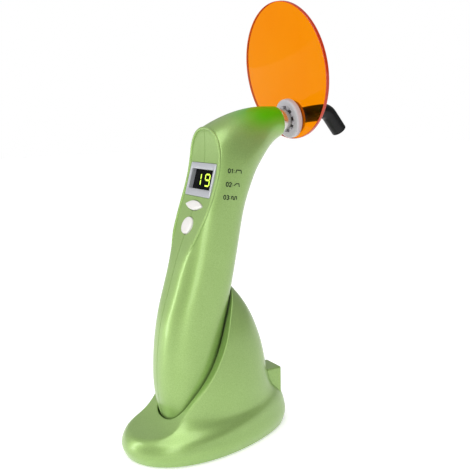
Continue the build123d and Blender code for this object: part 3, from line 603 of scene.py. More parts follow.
def on_plane(plane, outline, height=0.0):
    """Points of a flat outline, placed on a plane at a height above it."""
    origin, right_way, up_way, out_way = plane
    flat = np.asarray(outline, float)
    return origin + flat[:, :1] * right_way + flat[:, 1:2] * up_way + height * out_way


def oblong(width, height, radius, middle=(0.0, 0.0), steps=6):
    """Rectangle with round corners, anticlockwise."""
    points = []
    for k, (sx, sy) in enumerate(((1, 1), (-1, 1), (-1, -1), (1, -1))):
        for step in range(steps + 1):
            a = math.pi / 2 * (k + step / steps)
            points.append((middle[0] + sx * (width / 2 - radius) + radius * math.cos(a),
                           middle[1] + sy * (height / 2 - radius) + radius * math.sin(a)))
    return np.array(points)


def ellipse(width, height, count, middle=(0.0, 0.0)):
    turns = np.linspace(0, 2 * math.pi, count, endpoint=False)
    return np.stack([middle[0] + width / 2 * np.cos(turns), middle[1] + height / 2 * np.sin(turns)], axis=1)


def pointed_oval(width, height, count, middle=(0.0, 0.0)):
    """Two arcs that meet in points at the left and right."""
    radius = (width ** 2 + height ** 2) / (4 * height)
    half_turn = math.asin(width / 2 / radius)
    half = count // 2
    turns = np.linspace(half_turn, -half_turn, half, endpoint=False)
    top = np.stack([radius * np.sin(turns), radius * np.cos(turns) - radius + height / 2], axis=1)
    return np.concatenate([top, -top]) + np.array(middle)


def loft(name, loops, ring=False, sharp=35.0):
    """Closed skin over loops with equal numbers of points. A ring joins its last loop to its first."""
    loops = np.array(loops)
    rows, columns = loops.shape[:2]
    points = loops.reshape(-1, 3)
    if ring:
        faces = grid_faces(rows, columns, closed=True)
        last = (rows - 1) * columns
        faces += [(last + c, last + (c + 1) % columns, (c + 1) % columns, c) for c in range(columns)]
    else:
        faces = grid_faces(rows, columns, closed=True)
        faces.append(tuple(range(columns))[::-1])
        faces.append(tuple(range((rows - 1) * columns, rows * columns)))
    return make_piece(name, points, faces, merge=0.001, sharp=sharp)


def join(pieces, name):
    """Several objects made one."""
    work = bmesh.new()
    for piece in pieces:
        work.from_mesh(piece.data)
    mesh = bpy.data.meshes.new(name)
    work.to_mesh(mesh)
    work.free()
    for piece in pieces:
        bpy.data.objects.remove(piece)
    joined = bpy.data.objects.new(name, mesh)
    bpy.context.scene.collection.objects.link(joined)
    return joined


print("a plane leaned by 16 degrees faces", leaned_plane(0, 0, 16)[3].round(2))

# %% [markdown]
# ## Cutting the openings
# Each opening is the piece's own outline with a small gap all round, cut straight down on the
# face's plane through the wall.

# %% Cut the openings
BEZEL = leaned_plane(-0.9, 151.4, 15.8)
BEZEL_WIDTH, BEZEL_HEIGHT, BEZEL_DEPTH = 28.2, 18.8, 4.2
BEZEL_CORNER = 0.8
BEZEL_GAP = 0.15
KEYS = leaned_plane(-7.4, 132.1, 24.0)
MODE_WIDTH, MODE_HEIGHT, MODE_MIDDLE = 19.0, 5.4, (0.0, 5.8)
POWER_WIDTH, POWER_HEIGHT, POWER_MIDDLE = 10.8, 9.8, (0.0, -5.9)
KEY_GAP = 0.3
KEY_POINTS = 64
HOLE_REACH = 6.0


def openings(name):
    """Cutter for the frame and both keys."""
    frame_hole = oblong(BEZEL_WIDTH + 2 * BEZEL_GAP, BEZEL_HEIGHT + 2 * BEZEL_GAP, BEZEL_CORNER)
    mode_hole = pointed_oval(MODE_WIDTH + 2.6 * KEY_GAP, MODE_HEIGHT + 2 * KEY_GAP, KEY_POINTS, MODE_MIDDLE)
    power_hole = ellipse(POWER_WIDTH + 2 * KEY_GAP, POWER_HEIGHT + 2 * KEY_GAP, KEY_POINTS, POWER_MIDDLE)
    parts = []
    for outline, plane in ((frame_hole, BEZEL), (mode_hole, KEYS), (power_hole, KEYS)):
        ends = [on_plane(plane, outline, height) for height in (-HOLE_REACH, HOLE_REACH)]
        parts.append(loft("hole", ends))
    return join(parts, name)


for half in (shell_right, shell_left):
    cut(half, openings("openings"))
print("with openings:", count_triangles(shell_right), "triangles")

# %% [markdown]
# ## Colours and shader nodes
# Colours are given as on a screen, and one function turns them to the linear values that shaders
# use. Each finish starts from the real material and how its surface was made.

# %% Colours and shader nodes
def linear(text):
    """Linear colour of an sRGB hex value."""
    parts = [int(text[i:i + 2], 16) / 255 for i in (1, 3, 5)]
    return tuple(c / 12.92 if c <= 0.04045 else ((c + 0.055) / 1.055) ** 2.4 for c in parts) + (1.0,)


def add_node(tree, kind, settings=None, links=None):
    """A node with its settings by name and its inputs linked or set by name or number."""
    node = tree.nodes.new(kind)
    for key, value in (settings or {}).items():
        setattr(node, key, value)
    for key, value in (links or {}).items():
        socket = node.inputs[key]
        if isinstance(value, bpy.types.NodeSocket):
            tree.links.new(value, socket)
        else:
            socket.default_value = value
    return node


def finish(name, settings):
    """A material with one Principled shader, and its tree and shader for more nodes."""
    material = bpy.data.materials.new(name)
    material.use_nodes = True
    tree = material.node_tree
    tree.nodes.clear()
    shader = add_node(tree, "ShaderNodeBsdfPrincipled", {}, settings)
    add_node(tree, "ShaderNodeOutputMaterial", {}, {"Surface": shader.outputs["BSDF"]})
    return material, tree, shader


def grain(tree, size, detail=2.0):
    """Noise whose lumps are a size in millimetres across, on the object's own coordinates."""
    place = add_node(tree, "ShaderNodeTexCoord")
    return add_node(tree, "ShaderNodeTexNoise", {}, {
        "Vector": place.outputs["Object"], "Scale": 1 / (size * MM), "Detail": detail})


def ramp(tree, factor, stops):
    """Colour ramp from pairs of place and hex colour."""
    node = add_node(tree, "ShaderNodeValToRGB", {}, {"Fac": factor})
    elements = node.color_ramp.elements
    for index, (place, text) in enumerate(stops):
        element = elements[index] if index < 2 else elements.new(place)
        element.position = place
        element.color = linear(text)
    return node


def bump(tree, shader, height, depth, strength=1.0):
    """Small relief of a depth in millimetres on a shader."""
    node = add_node(tree, "ShaderNodeBump", {}, {
        "Height": height, "Distance": depth * MM, "Strength": strength})
    tree.links.new(node.outputs["Normal"], shader.inputs["Normal"])


def wear(material_parts, size, low, high, stops, relief=None):
    """Colour and roughness that vary over lumps of a size, with relief of a depth if given."""
    material, tree, shader = material_parts
    noise = grain(tree, size)
    tint = ramp(tree, noise.outputs["Fac"], stops)
    tree.links.new(tint.outputs["Color"], shader.inputs["Base Color"])
    rough = add_node(tree, "ShaderNodeMapRange", {}, {
        "Value": noise.outputs["Fac"], "From Min": 0.3, "From Max": 0.7, "To Min": low, "To Max": high})
    tree.links.new(rough.outputs["Result"], shader.inputs["Roughness"])
    if relief:
        bump(tree, shader, noise.outputs["Fac"], relief)
    return material


print("middle grey on a screen as linear light:", round(linear("#808080")[0], 3))

# %% [markdown]
# ## Pearl green lacquer
# The shells are moulded ABS under a pearl lacquer. Fine mica flakes make it look half metallic, with
# wide soft highlights under a thin clear coat. The flakes are drawn 0.5 mm across, coarser than real
# ones, so that they show. The top of the neck is sprayed a pure green that fades into the pearl.

# %% Pearl green lacquer
def pearl_lacquer():
    material, tree, shader = finish("pearl_lacquer_on_abs", {
        "Metallic": 0.5, "Roughness": 0.4, "Coat Weight": 0.4, "Coat Roughness": 0.13})
    place = add_node(tree, "ShaderNodeTexCoord")
    flakes = grain(tree, 0.5, 1.0)
    clouds = grain(tree, 14.0, 1.0)
    face_on = ramp(tree, flakes.outputs["Fac"], [(0.35, "#91B065"), (0.65, "#9ABA6E")])
    shade = add_node(tree, "ShaderNodeMix", {"data_type": "RGBA", "blend_type": "MULTIPLY"}, {
        0: 0.5, 6: face_on.outputs["Color"],
        7: ramp(tree, clouds.outputs["Fac"], [(0.3, "#F4F7EE"), (0.7, "#FFFFFF")]).outputs["Color"]})

    from_rim = add_node(tree, "ShaderNodeVectorMath", {"operation": "SUBTRACT"}, {
        0: place.outputs["Object"], 1: tuple(RIM * MM)})
    along = add_node(tree, "ShaderNodeVectorMath", {"operation": "DOT_PRODUCT"}, {
        0: from_rim.outputs["Vector"], 1: tuple(HEAD_OUT)})
    above = add_node(tree, "ShaderNodeVectorMath", {"operation": "DOT_PRODUCT"}, {
        0: from_rim.outputs["Vector"], 1: tuple(HEAD_UP)})
    near = add_node(tree, "ShaderNodeMapRange", {"interpolation_type": "SMOOTHSTEP"}, {
        "Value": along.outputs["Value"], "From Min": -40 * MM, "From Max": -12 * MM})
    high = add_node(tree, "ShaderNodeMapRange", {"interpolation_type": "SMOOTHSTEP"}, {
        "Value": above.outputs["Value"], "From Min": -7 * MM, "From Max": 6 * MM})
    sprayed = add_node(tree, "ShaderNodeMath", {"operation": "MULTIPLY"}, {
        0: near.outputs["Result"], 1: high.outputs["Result"]})
    coloured = add_node(tree, "ShaderNodeMix", {"data_type": "RGBA"}, {
        0: sprayed.outputs["Value"], 6: shade.outputs[2], 7: linear("#42C400")})
    tree.links.new(coloured.outputs[2], shader.inputs["Base Color"])
    bump(tree, shader, flakes.outputs["Fac"], 0.004, 0.35)
    return material


pearl = pearl_lacquer()
print("finish:", pearl.name)

# %% [markdown]
# ## Plastics and rubbers
# Moulded parts keep the fine spark-eroded texture of their mould. Its grain is drawn 0.15 to 0.5 mm
# across, as coarse as it needs to be to show. Soft silicone scatters a little light inside.

# %% Plastics and rubbers
grey_hub = wear(finish("moulded_grey_abs", {}), 0.35, 0.34, 0.42,
                [(0.3, "#B5B2B8"), (0.7, "#BDBAC0")], 0.006)
grey_plate = wear(finish("moulded_grey_polypropylene", {}), 0.4, 0.5, 0.6,
                  [(0.3, "#B9BBBE"), (0.7, "#C2C4C7")], 0.01)
black_plastic = wear(finish("moulded_black_nylon", {}), 0.3, 0.38, 0.5,
                     [(0.3, "#17181A"), (0.7, "#202124")], 0.01)
rubber = wear(finish("black_rubber", {"Specular IOR Level": 0.35}), 0.4, 0.62, 0.75,
              [(0.3, "#1E1F20"), (0.7, "#28292A")], 0.015)
sole_rubber = wear(finish("grey_elastomer_sole", {"Specular IOR Level": 0.35}), 0.4, 0.65, 0.78,
                   [(0.3, "#5B5E60"), (0.7, "#66696B")], 0.015)
white_silicone = wear(finish("white_silicone", {
    "Subsurface Weight": 0.15, "Subsurface Radius": (0.0012, 0.001, 0.0009), "Subsurface Scale": 1.0,
    "Coat Weight": 0.1, "Coat Roughness": 0.3}), 0.5, 0.36, 0.44, [(0.3, "#D8D5D2"), (0.7, "#DEDBD8")], 0.004)
silver_lacquer = wear(finish("silver_lacquer", {"Metallic": 0.55, "Coat Weight": 0.2, "Coat Roughness": 0.2}),
                      0.3, 0.4, 0.48, [(0.3, "#B4B6BC"), (0.7, "#BEC0C6")], 0.003)
ink = wear(finish("dark_green_pad_ink", {"Specular IOR Level": 0.4}), 0.15, 0.45, 0.6,
           [(0.3, "#081A04"), (0.7, "#0C2007")])
cell_wrap = wear(finish("blue_shrink_wrap", {"Coat Weight": 0.3, "Coat Roughness": 0.15}), 2.5, 0.25, 0.35,
                 [(0.3, "#1F5FA8"), (0.7, "#2768B2")], 0.02)
print("finish:", grey_hub.name, white_silicone.name, silver_lacquer.name)

# %% [markdown]
# ## Metals
# Turned metal keeps fine rings from the tool. They run round the head's axis, so their pattern
# reads only the distance along it, drawn 0.25 mm apart so that it shows. Plated parts are smoother.

# %% Metals
def turned_metal(name, text, roughness, depth):
    material, tree, shader = finish(name, {"Metallic": 1.0, "Base Color": linear(text)})
    place = add_node(tree, "ShaderNodeTexCoord")
    along = add_node(tree, "ShaderNodeVectorMath", {"operation": "DOT_PRODUCT"}, {
        0: place.outputs["Object"], 1: tuple(HEAD_OUT)})
    rings = add_node(tree, "ShaderNodeTexNoise", {"noise_dimensions": "1D"}, {
        "W": along.outputs["Value"], "Scale": 1 / (0.25 * MM), "Detail": 2.0})
    rough = add_node(tree, "ShaderNodeMapRange", {}, {
        "Value": rings.outputs["Fac"], "To Min": roughness - 0.05, "To Max": roughness + 0.08})
    tree.links.new(rough.outputs["Result"], shader.inputs["Roughness"])
    bump(tree, shader, rings.outputs["Fac"], depth)
    return material


ferrule_steel = turned_metal("turned_stainless_steel", "#C9C6C2", 0.2, 0.004)
socket_aluminium = turned_metal("turned_anodised_aluminium", "#B9BCC0", 0.34, 0.006)
chrome = turned_metal("chrome_plated_brass", "#DFE2E4", 0.08, 0.001)
screw_steel = wear(finish("zinc_plated_steel", {"Metallic": 1.0}), 0.6, 0.28, 0.4,
                   [(0.3, "#B7BABC"), (0.7, "#C5C7C8")])
gold = wear(finish("gold_plated_brass", {"Metallic": 1.0}), 0.5, 0.16, 0.26,
            [(0.3, "#D9B25A"), (0.7, "#E3BE6A")])
cast_aluminium = wear(finish("extruded_aluminium", {"Metallic": 1.0}), 0.8, 0.35, 0.5,
                      [(0.3, "#AEB1B4"), (0.7, "#BCBFC1")], 0.01)
print("finish:", ferrule_steel.name, chrome.name)

# %% [markdown]
# ## Clear and dark glass, the shield and the rod
# The shield is cast acrylic dyed orange, which stops blue light. Light that travels inside the sheet
# leaves at the rim, so the rim looks deeper; that deeper red is painted on the rim faces as a glow.
# A thin flat sheet shows its dye and hardly bends what is behind it, so it is given a low index,
# which also keeps the floor's glare off it. The rod is glass fibre in a black glossy sheath, with its
# ground end showing the fibres, drawn 0.3 mm across. The window is smoked acrylic.

# %% Shield, rod, glass and lights of the display
def orange_acrylic():
    material, tree, shader = finish("cast_orange_acrylic", {
        "Roughness": 0.02, "IOR": 1.12, "Transmission Weight": 1.0})
    clouds = grain(tree, 25.0, 1.0)
    tint = ramp(tree, clouds.outputs["Fac"], [(0.3, "#F88E00"), (0.7, "#F99204")])
    tree.links.new(tint.outputs["Color"], shader.inputs["Base Color"])
    return material


orange = orange_acrylic()
# Painted glow: a deeper red on the rim faces stands in for light carried inside the sheet.
rim_painted_glow = wear(finish("acrylic_rim_painted_glow", {"IOR": 1.49, "Transmission Weight": 0.25}), 3.0, 0.1, 0.2,
                  [(0.3, "#C02A06"), (0.7, "#CC3C10")])
sheath = wear(finish("black_glass_sheath", {"Specular IOR Level": 0.25}), 2.0, 0.34, 0.42,
              [(0.3, "#0D0E0F"), (0.7, "#131415")])
fibre_end = wear(finish("ground_fibre_end", {"IOR": 1.52, "Coat Weight": 0.5, "Coat Roughness": 0.05}),
                 0.3, 0.15, 0.3, [(0.35, "#6F6658"), (0.65, "#A39A88")])
smoked = wear(finish("smoked_acrylic", {"IOR": 1.49, "Specular IOR Level": 0.03}), 6.0, 0.12, 0.18,
              [(0.3, "#030404"), (0.7, "#050606")])
lens_glass = wear(finish("moulded_clear_lens", {"IOR": 1.52, "Transmission Weight": 1.0}), 5.0, 0.01, 0.04,
                  [(0.3, "#F4F8FA"), (0.7, "#FFFFFF")])
lit_bar = wear(finish("lit_display_bar", {"Emission Color": linear("#C9F03C"), "Emission Strength": 1.2}),
               0.6, 0.3, 0.4, [(0.3, "#BEE83A"), (0.7, "#CFF25C")])
emitter_gel = wear(finish("blue_emitter_under_silicone", {"Coat Weight": 1.0, "Coat Roughness": 0.05}),
                   0.4, 0.2, 0.3, [(0.4, "#C9D4E8"), (0.6, "#8FA6D8")])


def board_laminate():
    """Green solder mask with copper tracks 1.2 mm apart showing through as paler lines."""
    material, tree, shader = finish("green_solder_mask", {
        "Roughness": 0.3, "Coat Weight": 0.4, "Coat Roughness": 0.15})
    place = add_node(tree, "ShaderNodeTexCoord")
    tracks = add_node(tree, "ShaderNodeTexBrick", {"offset": 0.4}, {
        "Vector": place.outputs["Object"], "Scale": 1 / (2.4 * MM), "Color1": linear("#1B5E33"),
        "Color2": linear("#1F6A3A"), "Mortar": linear("#3C8A55"), "Mortar Size": 0.06})
    tree.links.new(tracks.outputs["Color"], shader.inputs["Base Color"])
    bump(tree, shader, tracks.outputs["Fac"], -0.02)
    return material


board = board_laminate()
print("finish:", orange.name, sheath.name, board.name)

# %% [markdown]
# ## Display
# The frame is a silver moulding with a bevelled inner edge that catches light. The dark window lies
# deep in it, and the lit digits stand on the window.

# %% Display frame and window
WINDOW_WIDTH, WINDOW_HEIGHT = 24.0, 11.2
WINDOW_MIDDLE = (0.0, 0.3)
WINDOW_DEPTH = 2.9
WINDOW_BACK = 3.3
FRAME_BEVEL = 0.55


def frame_loops():
    """Outlines round the frame's section, from the back of the opening over the front to the back."""
    def hole(grow):
        return oblong(WINDOW_WIDTH + 2 * grow, WINDOW_HEIGHT + 2 * grow, 0.35 + max(grow, 0),
                      middle=WINDOW_MIDDLE)

    def rim(grow):
        return oblong(BEZEL_WIDTH + 2 * grow, BEZEL_HEIGHT + 2 * grow, BEZEL_CORNER)

    steps = [
        (hole(0), -BEZEL_DEPTH), (hole(0), -FRAME_BEVEL - 0.05), (hole(0), -FRAME_BEVEL),
        (hole(FRAME_BEVEL), -0.05), (hole(FRAME_BEVEL + 0.1), 0.0), (rim(-0.5), 0.0), (rim(-0.42), -0.01),
        (rim(-0.2), -0.08), (rim(-0.06), -0.25), (rim(0), -0.5), (rim(0), -BEZEL_DEPTH),
    ]
    return [on_plane(BEZEL, outline, height) for outline, height in steps]


display_frame = loft("display_frame", frame_loops(), ring=True, sharp=28)
window_outline = oblong(WINDOW_WIDTH - 0.1, WINDOW_HEIGHT - 0.1, 0.3, middle=WINDOW_MIDDLE)
window_inner = oblong(WINDOW_WIDTH - 0.3, WINDOW_HEIGHT - 0.3, 0.25, middle=WINDOW_MIDDLE)
display_glass = loft("display_glass", [
    on_plane(BEZEL, window_outline, -WINDOW_BACK),
    on_plane(BEZEL, window_outline, -WINDOW_DEPTH - 0.1),
    on_plane(BEZEL, window_inner, -WINDOW_DEPTH),
])
print("display frame:", count_triangles(display_frame), "triangles")

# %% [markdown]
# ## Lit digits
# A digit has seven bars at most. One bar is made, and Geometry Nodes stand copies of it on points,
# each turned and stretched for its place. The bars are flat, so that they read as light.

# %% Lit digits
DIGIT_HEIGHT = 6.4
DIGIT_WIDTH = 4.8
DIGIT_SLANT = math.radians(-6)
DIGIT_MIDDLES = ((-6.7, 0.3), (3.2, 0.3))
DIGIT_BARS = ("bc", "abcdfg")
BAR_LENGTH, BAR_WIDTH = DIGIT_WIDTH - 0.5, 0.8
UPRIGHT_LENGTH, UPRIGHT_WIDTH = DIGIT_HEIGHT / 2 - 0.2, 0.85
BAR_LIFT = 0.02
BAR_THICKNESS = 0.03
# Each bar: middle as a share of the digit's width and height, and whether it stands upright
BARS = {
    "a": (0, 0.5, False), "b": (0.5, 0.25, True), "c": (0.5, -0.25, True), "d": (0, -0.5, False),
    "e": (-0.5, -0.25, True), "f": (-0.5, 0.25, True), "g": (0, 0, False),
}


def points_object(name, places):
    """Loose points in millimetres, for Geometry Nodes to stand things on."""
    mesh = bpy.data.meshes.new(name)
    mesh.from_pydata([tuple(p) for p in np.asarray(places, float) * MM], [], [])
    carrier = bpy.data.objects.new(name, mesh)
    bpy.context.scene.collection.objects.link(carrier)
    return carrier


def repeat_on_points(name, carrier, shape, turns, stretches, material):
    """Copies of a shape on a carrier's points, each turned and stretched in its own way, as one mesh."""
    turn_data = carrier.data.attributes.new("turn", "FLOAT_VECTOR", "POINT")
    turn_data.data.foreach_set("vector", np.asarray(turns, float).ravel())
    stretch_data = carrier.data.attributes.new("stretch", "FLOAT_VECTOR", "POINT")
    stretch_data.data.foreach_set("vector", np.asarray(stretches, float).ravel())
    tree = bpy.data.node_groups.new(name, "GeometryNodeTree")
    tree.interface.new_socket("Geometry", in_out="INPUT", socket_type="NodeSocketGeometry")
    tree.interface.new_socket("Shape", in_out="INPUT", socket_type="NodeSocketObject")
    tree.interface.new_socket("Size", in_out="INPUT", socket_type="NodeSocketFloat")
    tree.interface.new_socket("Finish", in_out="INPUT", socket_type="NodeSocketMaterial")
    tree.interface.new_socket("Geometry", in_out="OUTPUT", socket_type="NodeSocketGeometry")
    inputs = add_node(tree, "NodeGroupInput")
    shape_info = add_node(tree, "GeometryNodeObjectInfo", {}, {"Object": inputs.outputs["Shape"]})
    turn = add_node(tree, "GeometryNodeInputNamedAttribute", {"data_type": "FLOAT_VECTOR"}, {"Name": "turn"})
    way = add_node(tree, "FunctionNodeEulerToRotation", {}, {"Euler": turn.outputs["Attribute"]})
    stretch = add_node(tree, "GeometryNodeInputNamedAttribute", {"data_type": "FLOAT_VECTOR"}, {
        "Name": "stretch"})
    sized = add_node(tree, "ShaderNodeVectorMath", {"operation": "SCALE"}, {
        "Vector": stretch.outputs["Attribute"], "Scale": inputs.outputs["Size"]})
    placed = add_node(tree, "GeometryNodeInstanceOnPoints", {}, {
        "Points": inputs.outputs["Geometry"], "Instance": shape_info.outputs["Geometry"],
        "Rotation": way.outputs["Rotation"], "Scale": sized.outputs["Vector"]})
    real = add_node(tree, "GeometryNodeRealizeInstances", {}, {"Geometry": placed.outputs["Instances"]})
    painted = add_node(tree, "GeometryNodeSetMaterial", {}, {
        "Geometry": real.outputs["Geometry"], "Material": inputs.outputs["Finish"]})
    add_node(tree, "NodeGroupOutput", {}, {"Geometry": painted.outputs["Geometry"]})

    modifier = carrier.modifiers.new(name, "NODES")
    modifier.node_group = tree
    given = {"Shape": shape, "Size": 1.0, "Finish": material}
    for item in tree.interface.items_tree:
        if item.in_out == "INPUT" and item.name in given:
            modifier[item.identifier] = given[item.name]
    bake(carrier)
    bpy.data.objects.remove(shape)
    carrier.name = name
    smooth(carrier)
    return carrier


def flat_to_plane(piece, plane):
    """Moves a mesh drawn in X and Y, with height in Z, onto a plane of the face."""
    origin, right_way, up_way, out_way = plane
    place = Matrix((
        (right_way[0], up_way[0], out_way[0], origin[0] * MM),
        (right_way[1], up_way[1], out_way[1], origin[1] * MM),
        (right_way[2], up_way[2], out_way[2], origin[2] * MM),
        (0, 0, 0, 1),
    ))
    piece.data.transform(place)


bar_places, bar_turns, bar_sizes = [], [], []
for (middle_x, middle_y), bars in zip(DIGIT_MIDDLES, DIGIT_BARS):
    for bar in bars:
        share_x, share_y, upright = BARS[bar]
        y = share_y * DIGIT_HEIGHT
        x = share_x * DIGIT_WIDTH + y * math.tan(DIGIT_SLANT)
        bar_places.append((middle_x + x, middle_y + y, BAR_LIFT))
        bar_turns.append((0, 0, math.pi / 2 - DIGIT_SLANT if upright else 0))
        bar_sizes.append((UPRIGHT_LENGTH, UPRIGHT_WIDTH, 1) if upright else (BAR_LENGTH, BAR_WIDTH, 1))
bar_outline = [(-0.5, 0), (-0.38, -0.5), (0.38, -0.5), (0.5, 0), (0.38, 0.5), (-0.38, 0.5)]
flat = (np.zeros(3), np.array((1.0, 0, 0)), np.array((0, 1.0, 0)), np.array((0, 0, 1.0)))
bar_shape = loft("bar", [on_plane(flat, bar_outline, height) for height in (0.0, BAR_THICKNESS)])
digits = repeat_on_points("display_digits", points_object("bars", bar_places), bar_shape, bar_turns,
                          bar_sizes, lit_bar)
flat_to_plane(digits, (BEZEL[0] + BEZEL[3] * -WINDOW_DEPTH, *BEZEL[1:]))
print("digit bars:", len(bar_places))

# %% [markdown]
# ## Keys
# Two soft white caps stand a millimetre proud: a narrow pointed one chooses the mode, a round one
# starts the lamp. A flange behind the shell keeps each cap in, and a stem reaches the switch.

# %% Keys
KEY_PROUD = 1.1
KEY_FLANGE_DEPTH = 2.9
KEY_FLANGE_WIDTH = 1.0
KEY_FLANGE_THICKNESS = 1.0
KEY_STEM_DEPTH = 4.95
KEY_STEM_RADIUS = 1.8
MODE_CROWN, POWER_CROWN = 0.8, 0.9


def key_cap(name, outline, middle, crown):
    """Cap, flange and stem as one skin: loops from the stem's end up over the domed crown."""
    body = outline(0)
    flange = outline(KEY_FLANGE_WIDTH)
    outward = body - middle
    stem = middle + KEY_STEM_RADIUS * outward / np.linalg.norm(outward, axis=1)[:, None]
    flange_back = -KEY_FLANGE_DEPTH - KEY_FLANGE_THICKNESS
    steps = [(stem, -KEY_STEM_DEPTH), (stem, flange_back), (flange, flange_back),
             (flange, -KEY_FLANGE_DEPTH), (body, -KEY_FLANGE_DEPTH), (body, KEY_PROUD - crown)]
    for turn in np.linspace(0, math.pi / 2, 12)[1:-1]:
        dome = middle + outward * math.cos(turn) ** 0.6
        steps.append((dome, KEY_PROUD - crown + crown * math.sin(turn)))
    steps.append((middle + outward * 0.02, KEY_PROUD))
    return loft(name, [on_plane(KEYS, loop, height) for loop, height in steps], sharp=50)


def mode_outline(grow):
    return pointed_oval(MODE_WIDTH + 2 * grow, MODE_HEIGHT + 2 * grow, KEY_POINTS, MODE_MIDDLE)


def power_outline(grow):
    return ellipse(POWER_WIDTH + 2 * grow, POWER_HEIGHT + 2 * grow, KEY_POINTS, POWER_MIDDLE)


mode_cap = key_cap("mode_key_cap", mode_outline, np.array(MODE_MIDDLE), MODE_CROWN)
power_cap = key_cap("power_key_cap", power_outline, np.array(POWER_MIDDLE), POWER_CROWN)
print("keys:", count_triangles(mode_cap), count_triangles(power_cap), "triangles")

# %% [markdown]
# ## Inlet box
# A square box for the charging plug grows out of the rear of the cradle. It is joined to the shell,
# and its socket is cut through its wall.

# %% Inlet box
BOX_FRONT, BOX_REAR = 24.0, 46.6
BOX_HALF = 7.7
BOX_BOTTOM, BOX_TOP = 18.0, 35.6
JACK_HEIGHT = 28.1
JACK_HALF = 4.7
JACK_HALF_HEIGHT = 5.6
JACK_WALL = 1.9
NOSE_RADIUS = 4.0
NOSE_DEPTH = 2.5
BOX_EDGE = 0.7


def side_loops(outline, steps):
    """Loops of a Y and Z outline at several X, each grown by an amount."""
    loops = []
    for x, grow in steps:
        o = outline(grow)
        loops.append(np.stack([np.full(len(o), x), o[:, 0], o[:, 1]], axis=1))
    return loops


def box_outline(grow):
    return oblong(2 * BOX_HALF + 2 * grow, BOX_TOP - BOX_BOTTOM + 2 * grow, 0.9 + grow,
                  middle=(0, (BOX_TOP + BOX_BOTTOM) / 2))


box_edge = [(BOX_REAR - BOX_EDGE * (1 - math.sin(t)), -BOX_EDGE * (1 - math.cos(t)))
            for t in np.linspace(0, math.pi / 2, 6)]
inlet_box = loft("inlet_box", side_loops(box_outline, [(BOX_FRONT, 0.0)] + box_edge))
cut(cradle, inlet_box, operation="UNION")
hollow = loft("hollow", side_loops(
    lambda grow: oblong(2 * JACK_HALF, 2 * JACK_HALF_HEIGHT, 0.2, middle=(0, JACK_HEIGHT)),
    [(BOX_FRONT - 1.0, 0), (BOX_REAR - JACK_WALL, 0)]))
cut(cradle, hollow)
nose = loft("nose", side_loops(
    lambda grow: ellipse(2 * NOSE_RADIUS, 2 * NOSE_RADIUS, 48, middle=(0, JACK_HEIGHT)),
    [(BOX_REAR - NOSE_DEPTH, 0), (BOX_REAR + 1, 0)]))
cut(cradle, nose)
print("cradle shell with box:", count_triangles(cradle), "triangles")

# %% [markdown]
# ## Turned parts on the head's axis
# The bright ring, the ferrule, the hub and its clip are all round about the light guide's axis, so
# each is one profile spun about it. The ferrule's collar and the hub have small rounded edges.

# %% Profiles spun about the axis
SPIN_STEPS = 96
CORNER_STEPS = 6
TRIM_INNER, TRIM_OUTER, TRIM_FAR = 6.7, 7.9, 0.9
FERRULE_BORE, FERRULE_RADIUS = 4.02, 5.6
FERRULE_NEAR, FERRULE_FAR = -17.0, 15.6
SEAL_RADIUS, SEAL_NEAR, SEAL_FAR = 4.55, -12.6, -11.4
COLLAR_RADIUS, COLLAR_NEAR, COLLAR_FAR = 6.4, 1.2, 6.2
HUB_BORE, HUB_OPENING, HUB_NECK, HUB_RADIUS = 5.65, 7.5, 8.0, 11.4
HUB_NEAR, HUB_FLOOR, HUB_FAR = 6.6, 9.2, 14.2
DISC_BACK, DISC_FRONT = 10.5, 12.6
DISC_BORE = 8.05
CLIP_RADIUS = 9.6


def spun(name, profile):
    """Closed profile of (distance from the rim, radius) pairs, spun about the light guide's axis."""
    turns = np.linspace(0, 2 * math.pi, SPIN_STEPS, endpoint=False)
    ring = np.outer(np.cos(turns), HEAD_UP) - np.outer(np.sin(turns), LEFT_WAY)
    loops = [RIM + distance * HEAD_OUT + radius * ring for distance, radius in profile]
    return loft(name, loops, ring=True)


def rounded(profile, radius):
    """The same closed profile with its corners rounded. A corner's own radius may follow its pair."""
    count = len(profile)
    result = []
    for i in range(count):
        before, here, after = (np.array(profile[k % count][:2]) for k in (i - 1, i, i + 1))
        size = profile[i][2] if len(profile[i]) > 2 else radius
        a = here + (before - here) * min(size / np.linalg.norm(before - here), 0.45)
        b = here + (after - here) * min(size / np.linalg.norm(after - here), 0.45)
        for t in np.linspace(0, 1, CORNER_STEPS):
            result.append(tuple((1 - t) ** 2 * a + 2 * t * (1 - t) * here + t ** 2 * b))
    return result


trim_ring = spun("head_trim_ring", rounded([
    (0, TRIM_INNER), (0, TRIM_OUTER), (TRIM_FAR, TRIM_OUTER), (TRIM_FAR, TRIM_INNER)], 0.3))
ferrule = spun("guide_ferrule_turned", rounded([
    (FERRULE_NEAR, FERRULE_BORE), (FERRULE_NEAR, FERRULE_RADIUS), (SEAL_NEAR, FERRULE_RADIUS),
    (SEAL_NEAR, SEAL_RADIUS), (SEAL_FAR, SEAL_RADIUS), (SEAL_FAR, FERRULE_RADIUS),
    (COLLAR_NEAR, FERRULE_RADIUS), (COLLAR_NEAR, COLLAR_RADIUS, 0.3), (COLLAR_FAR, COLLAR_RADIUS, 0.4),
    (COLLAR_FAR, FERRULE_RADIUS), (FERRULE_FAR, FERRULE_RADIUS, 0.4), (FERRULE_FAR, FERRULE_BORE),
], 0.12))
hub_body = spun("shield_hub_turned", rounded([
    (HUB_FAR, HUB_BORE), (HUB_FLOOR, HUB_BORE, 0.1), (HUB_FLOOR, HUB_OPENING, 0.1),
    (HUB_NEAR, HUB_OPENING, 0.25), (HUB_NEAR, HUB_RADIUS, 1.5), (DISC_BACK, HUB_RADIUS, 0.9),
    (DISC_BACK, HUB_NECK, 0.05), (HUB_FAR, HUB_NECK, 0.4),
], 0.15))
clip = spun("shield_clip_turned", rounded([
    (DISC_FRONT, DISC_BORE), (DISC_FRONT, CLIP_RADIUS), (HUB_FAR, CLIP_RADIUS, 0.4), (HUB_FAR, DISC_BORE),
], 0.2))
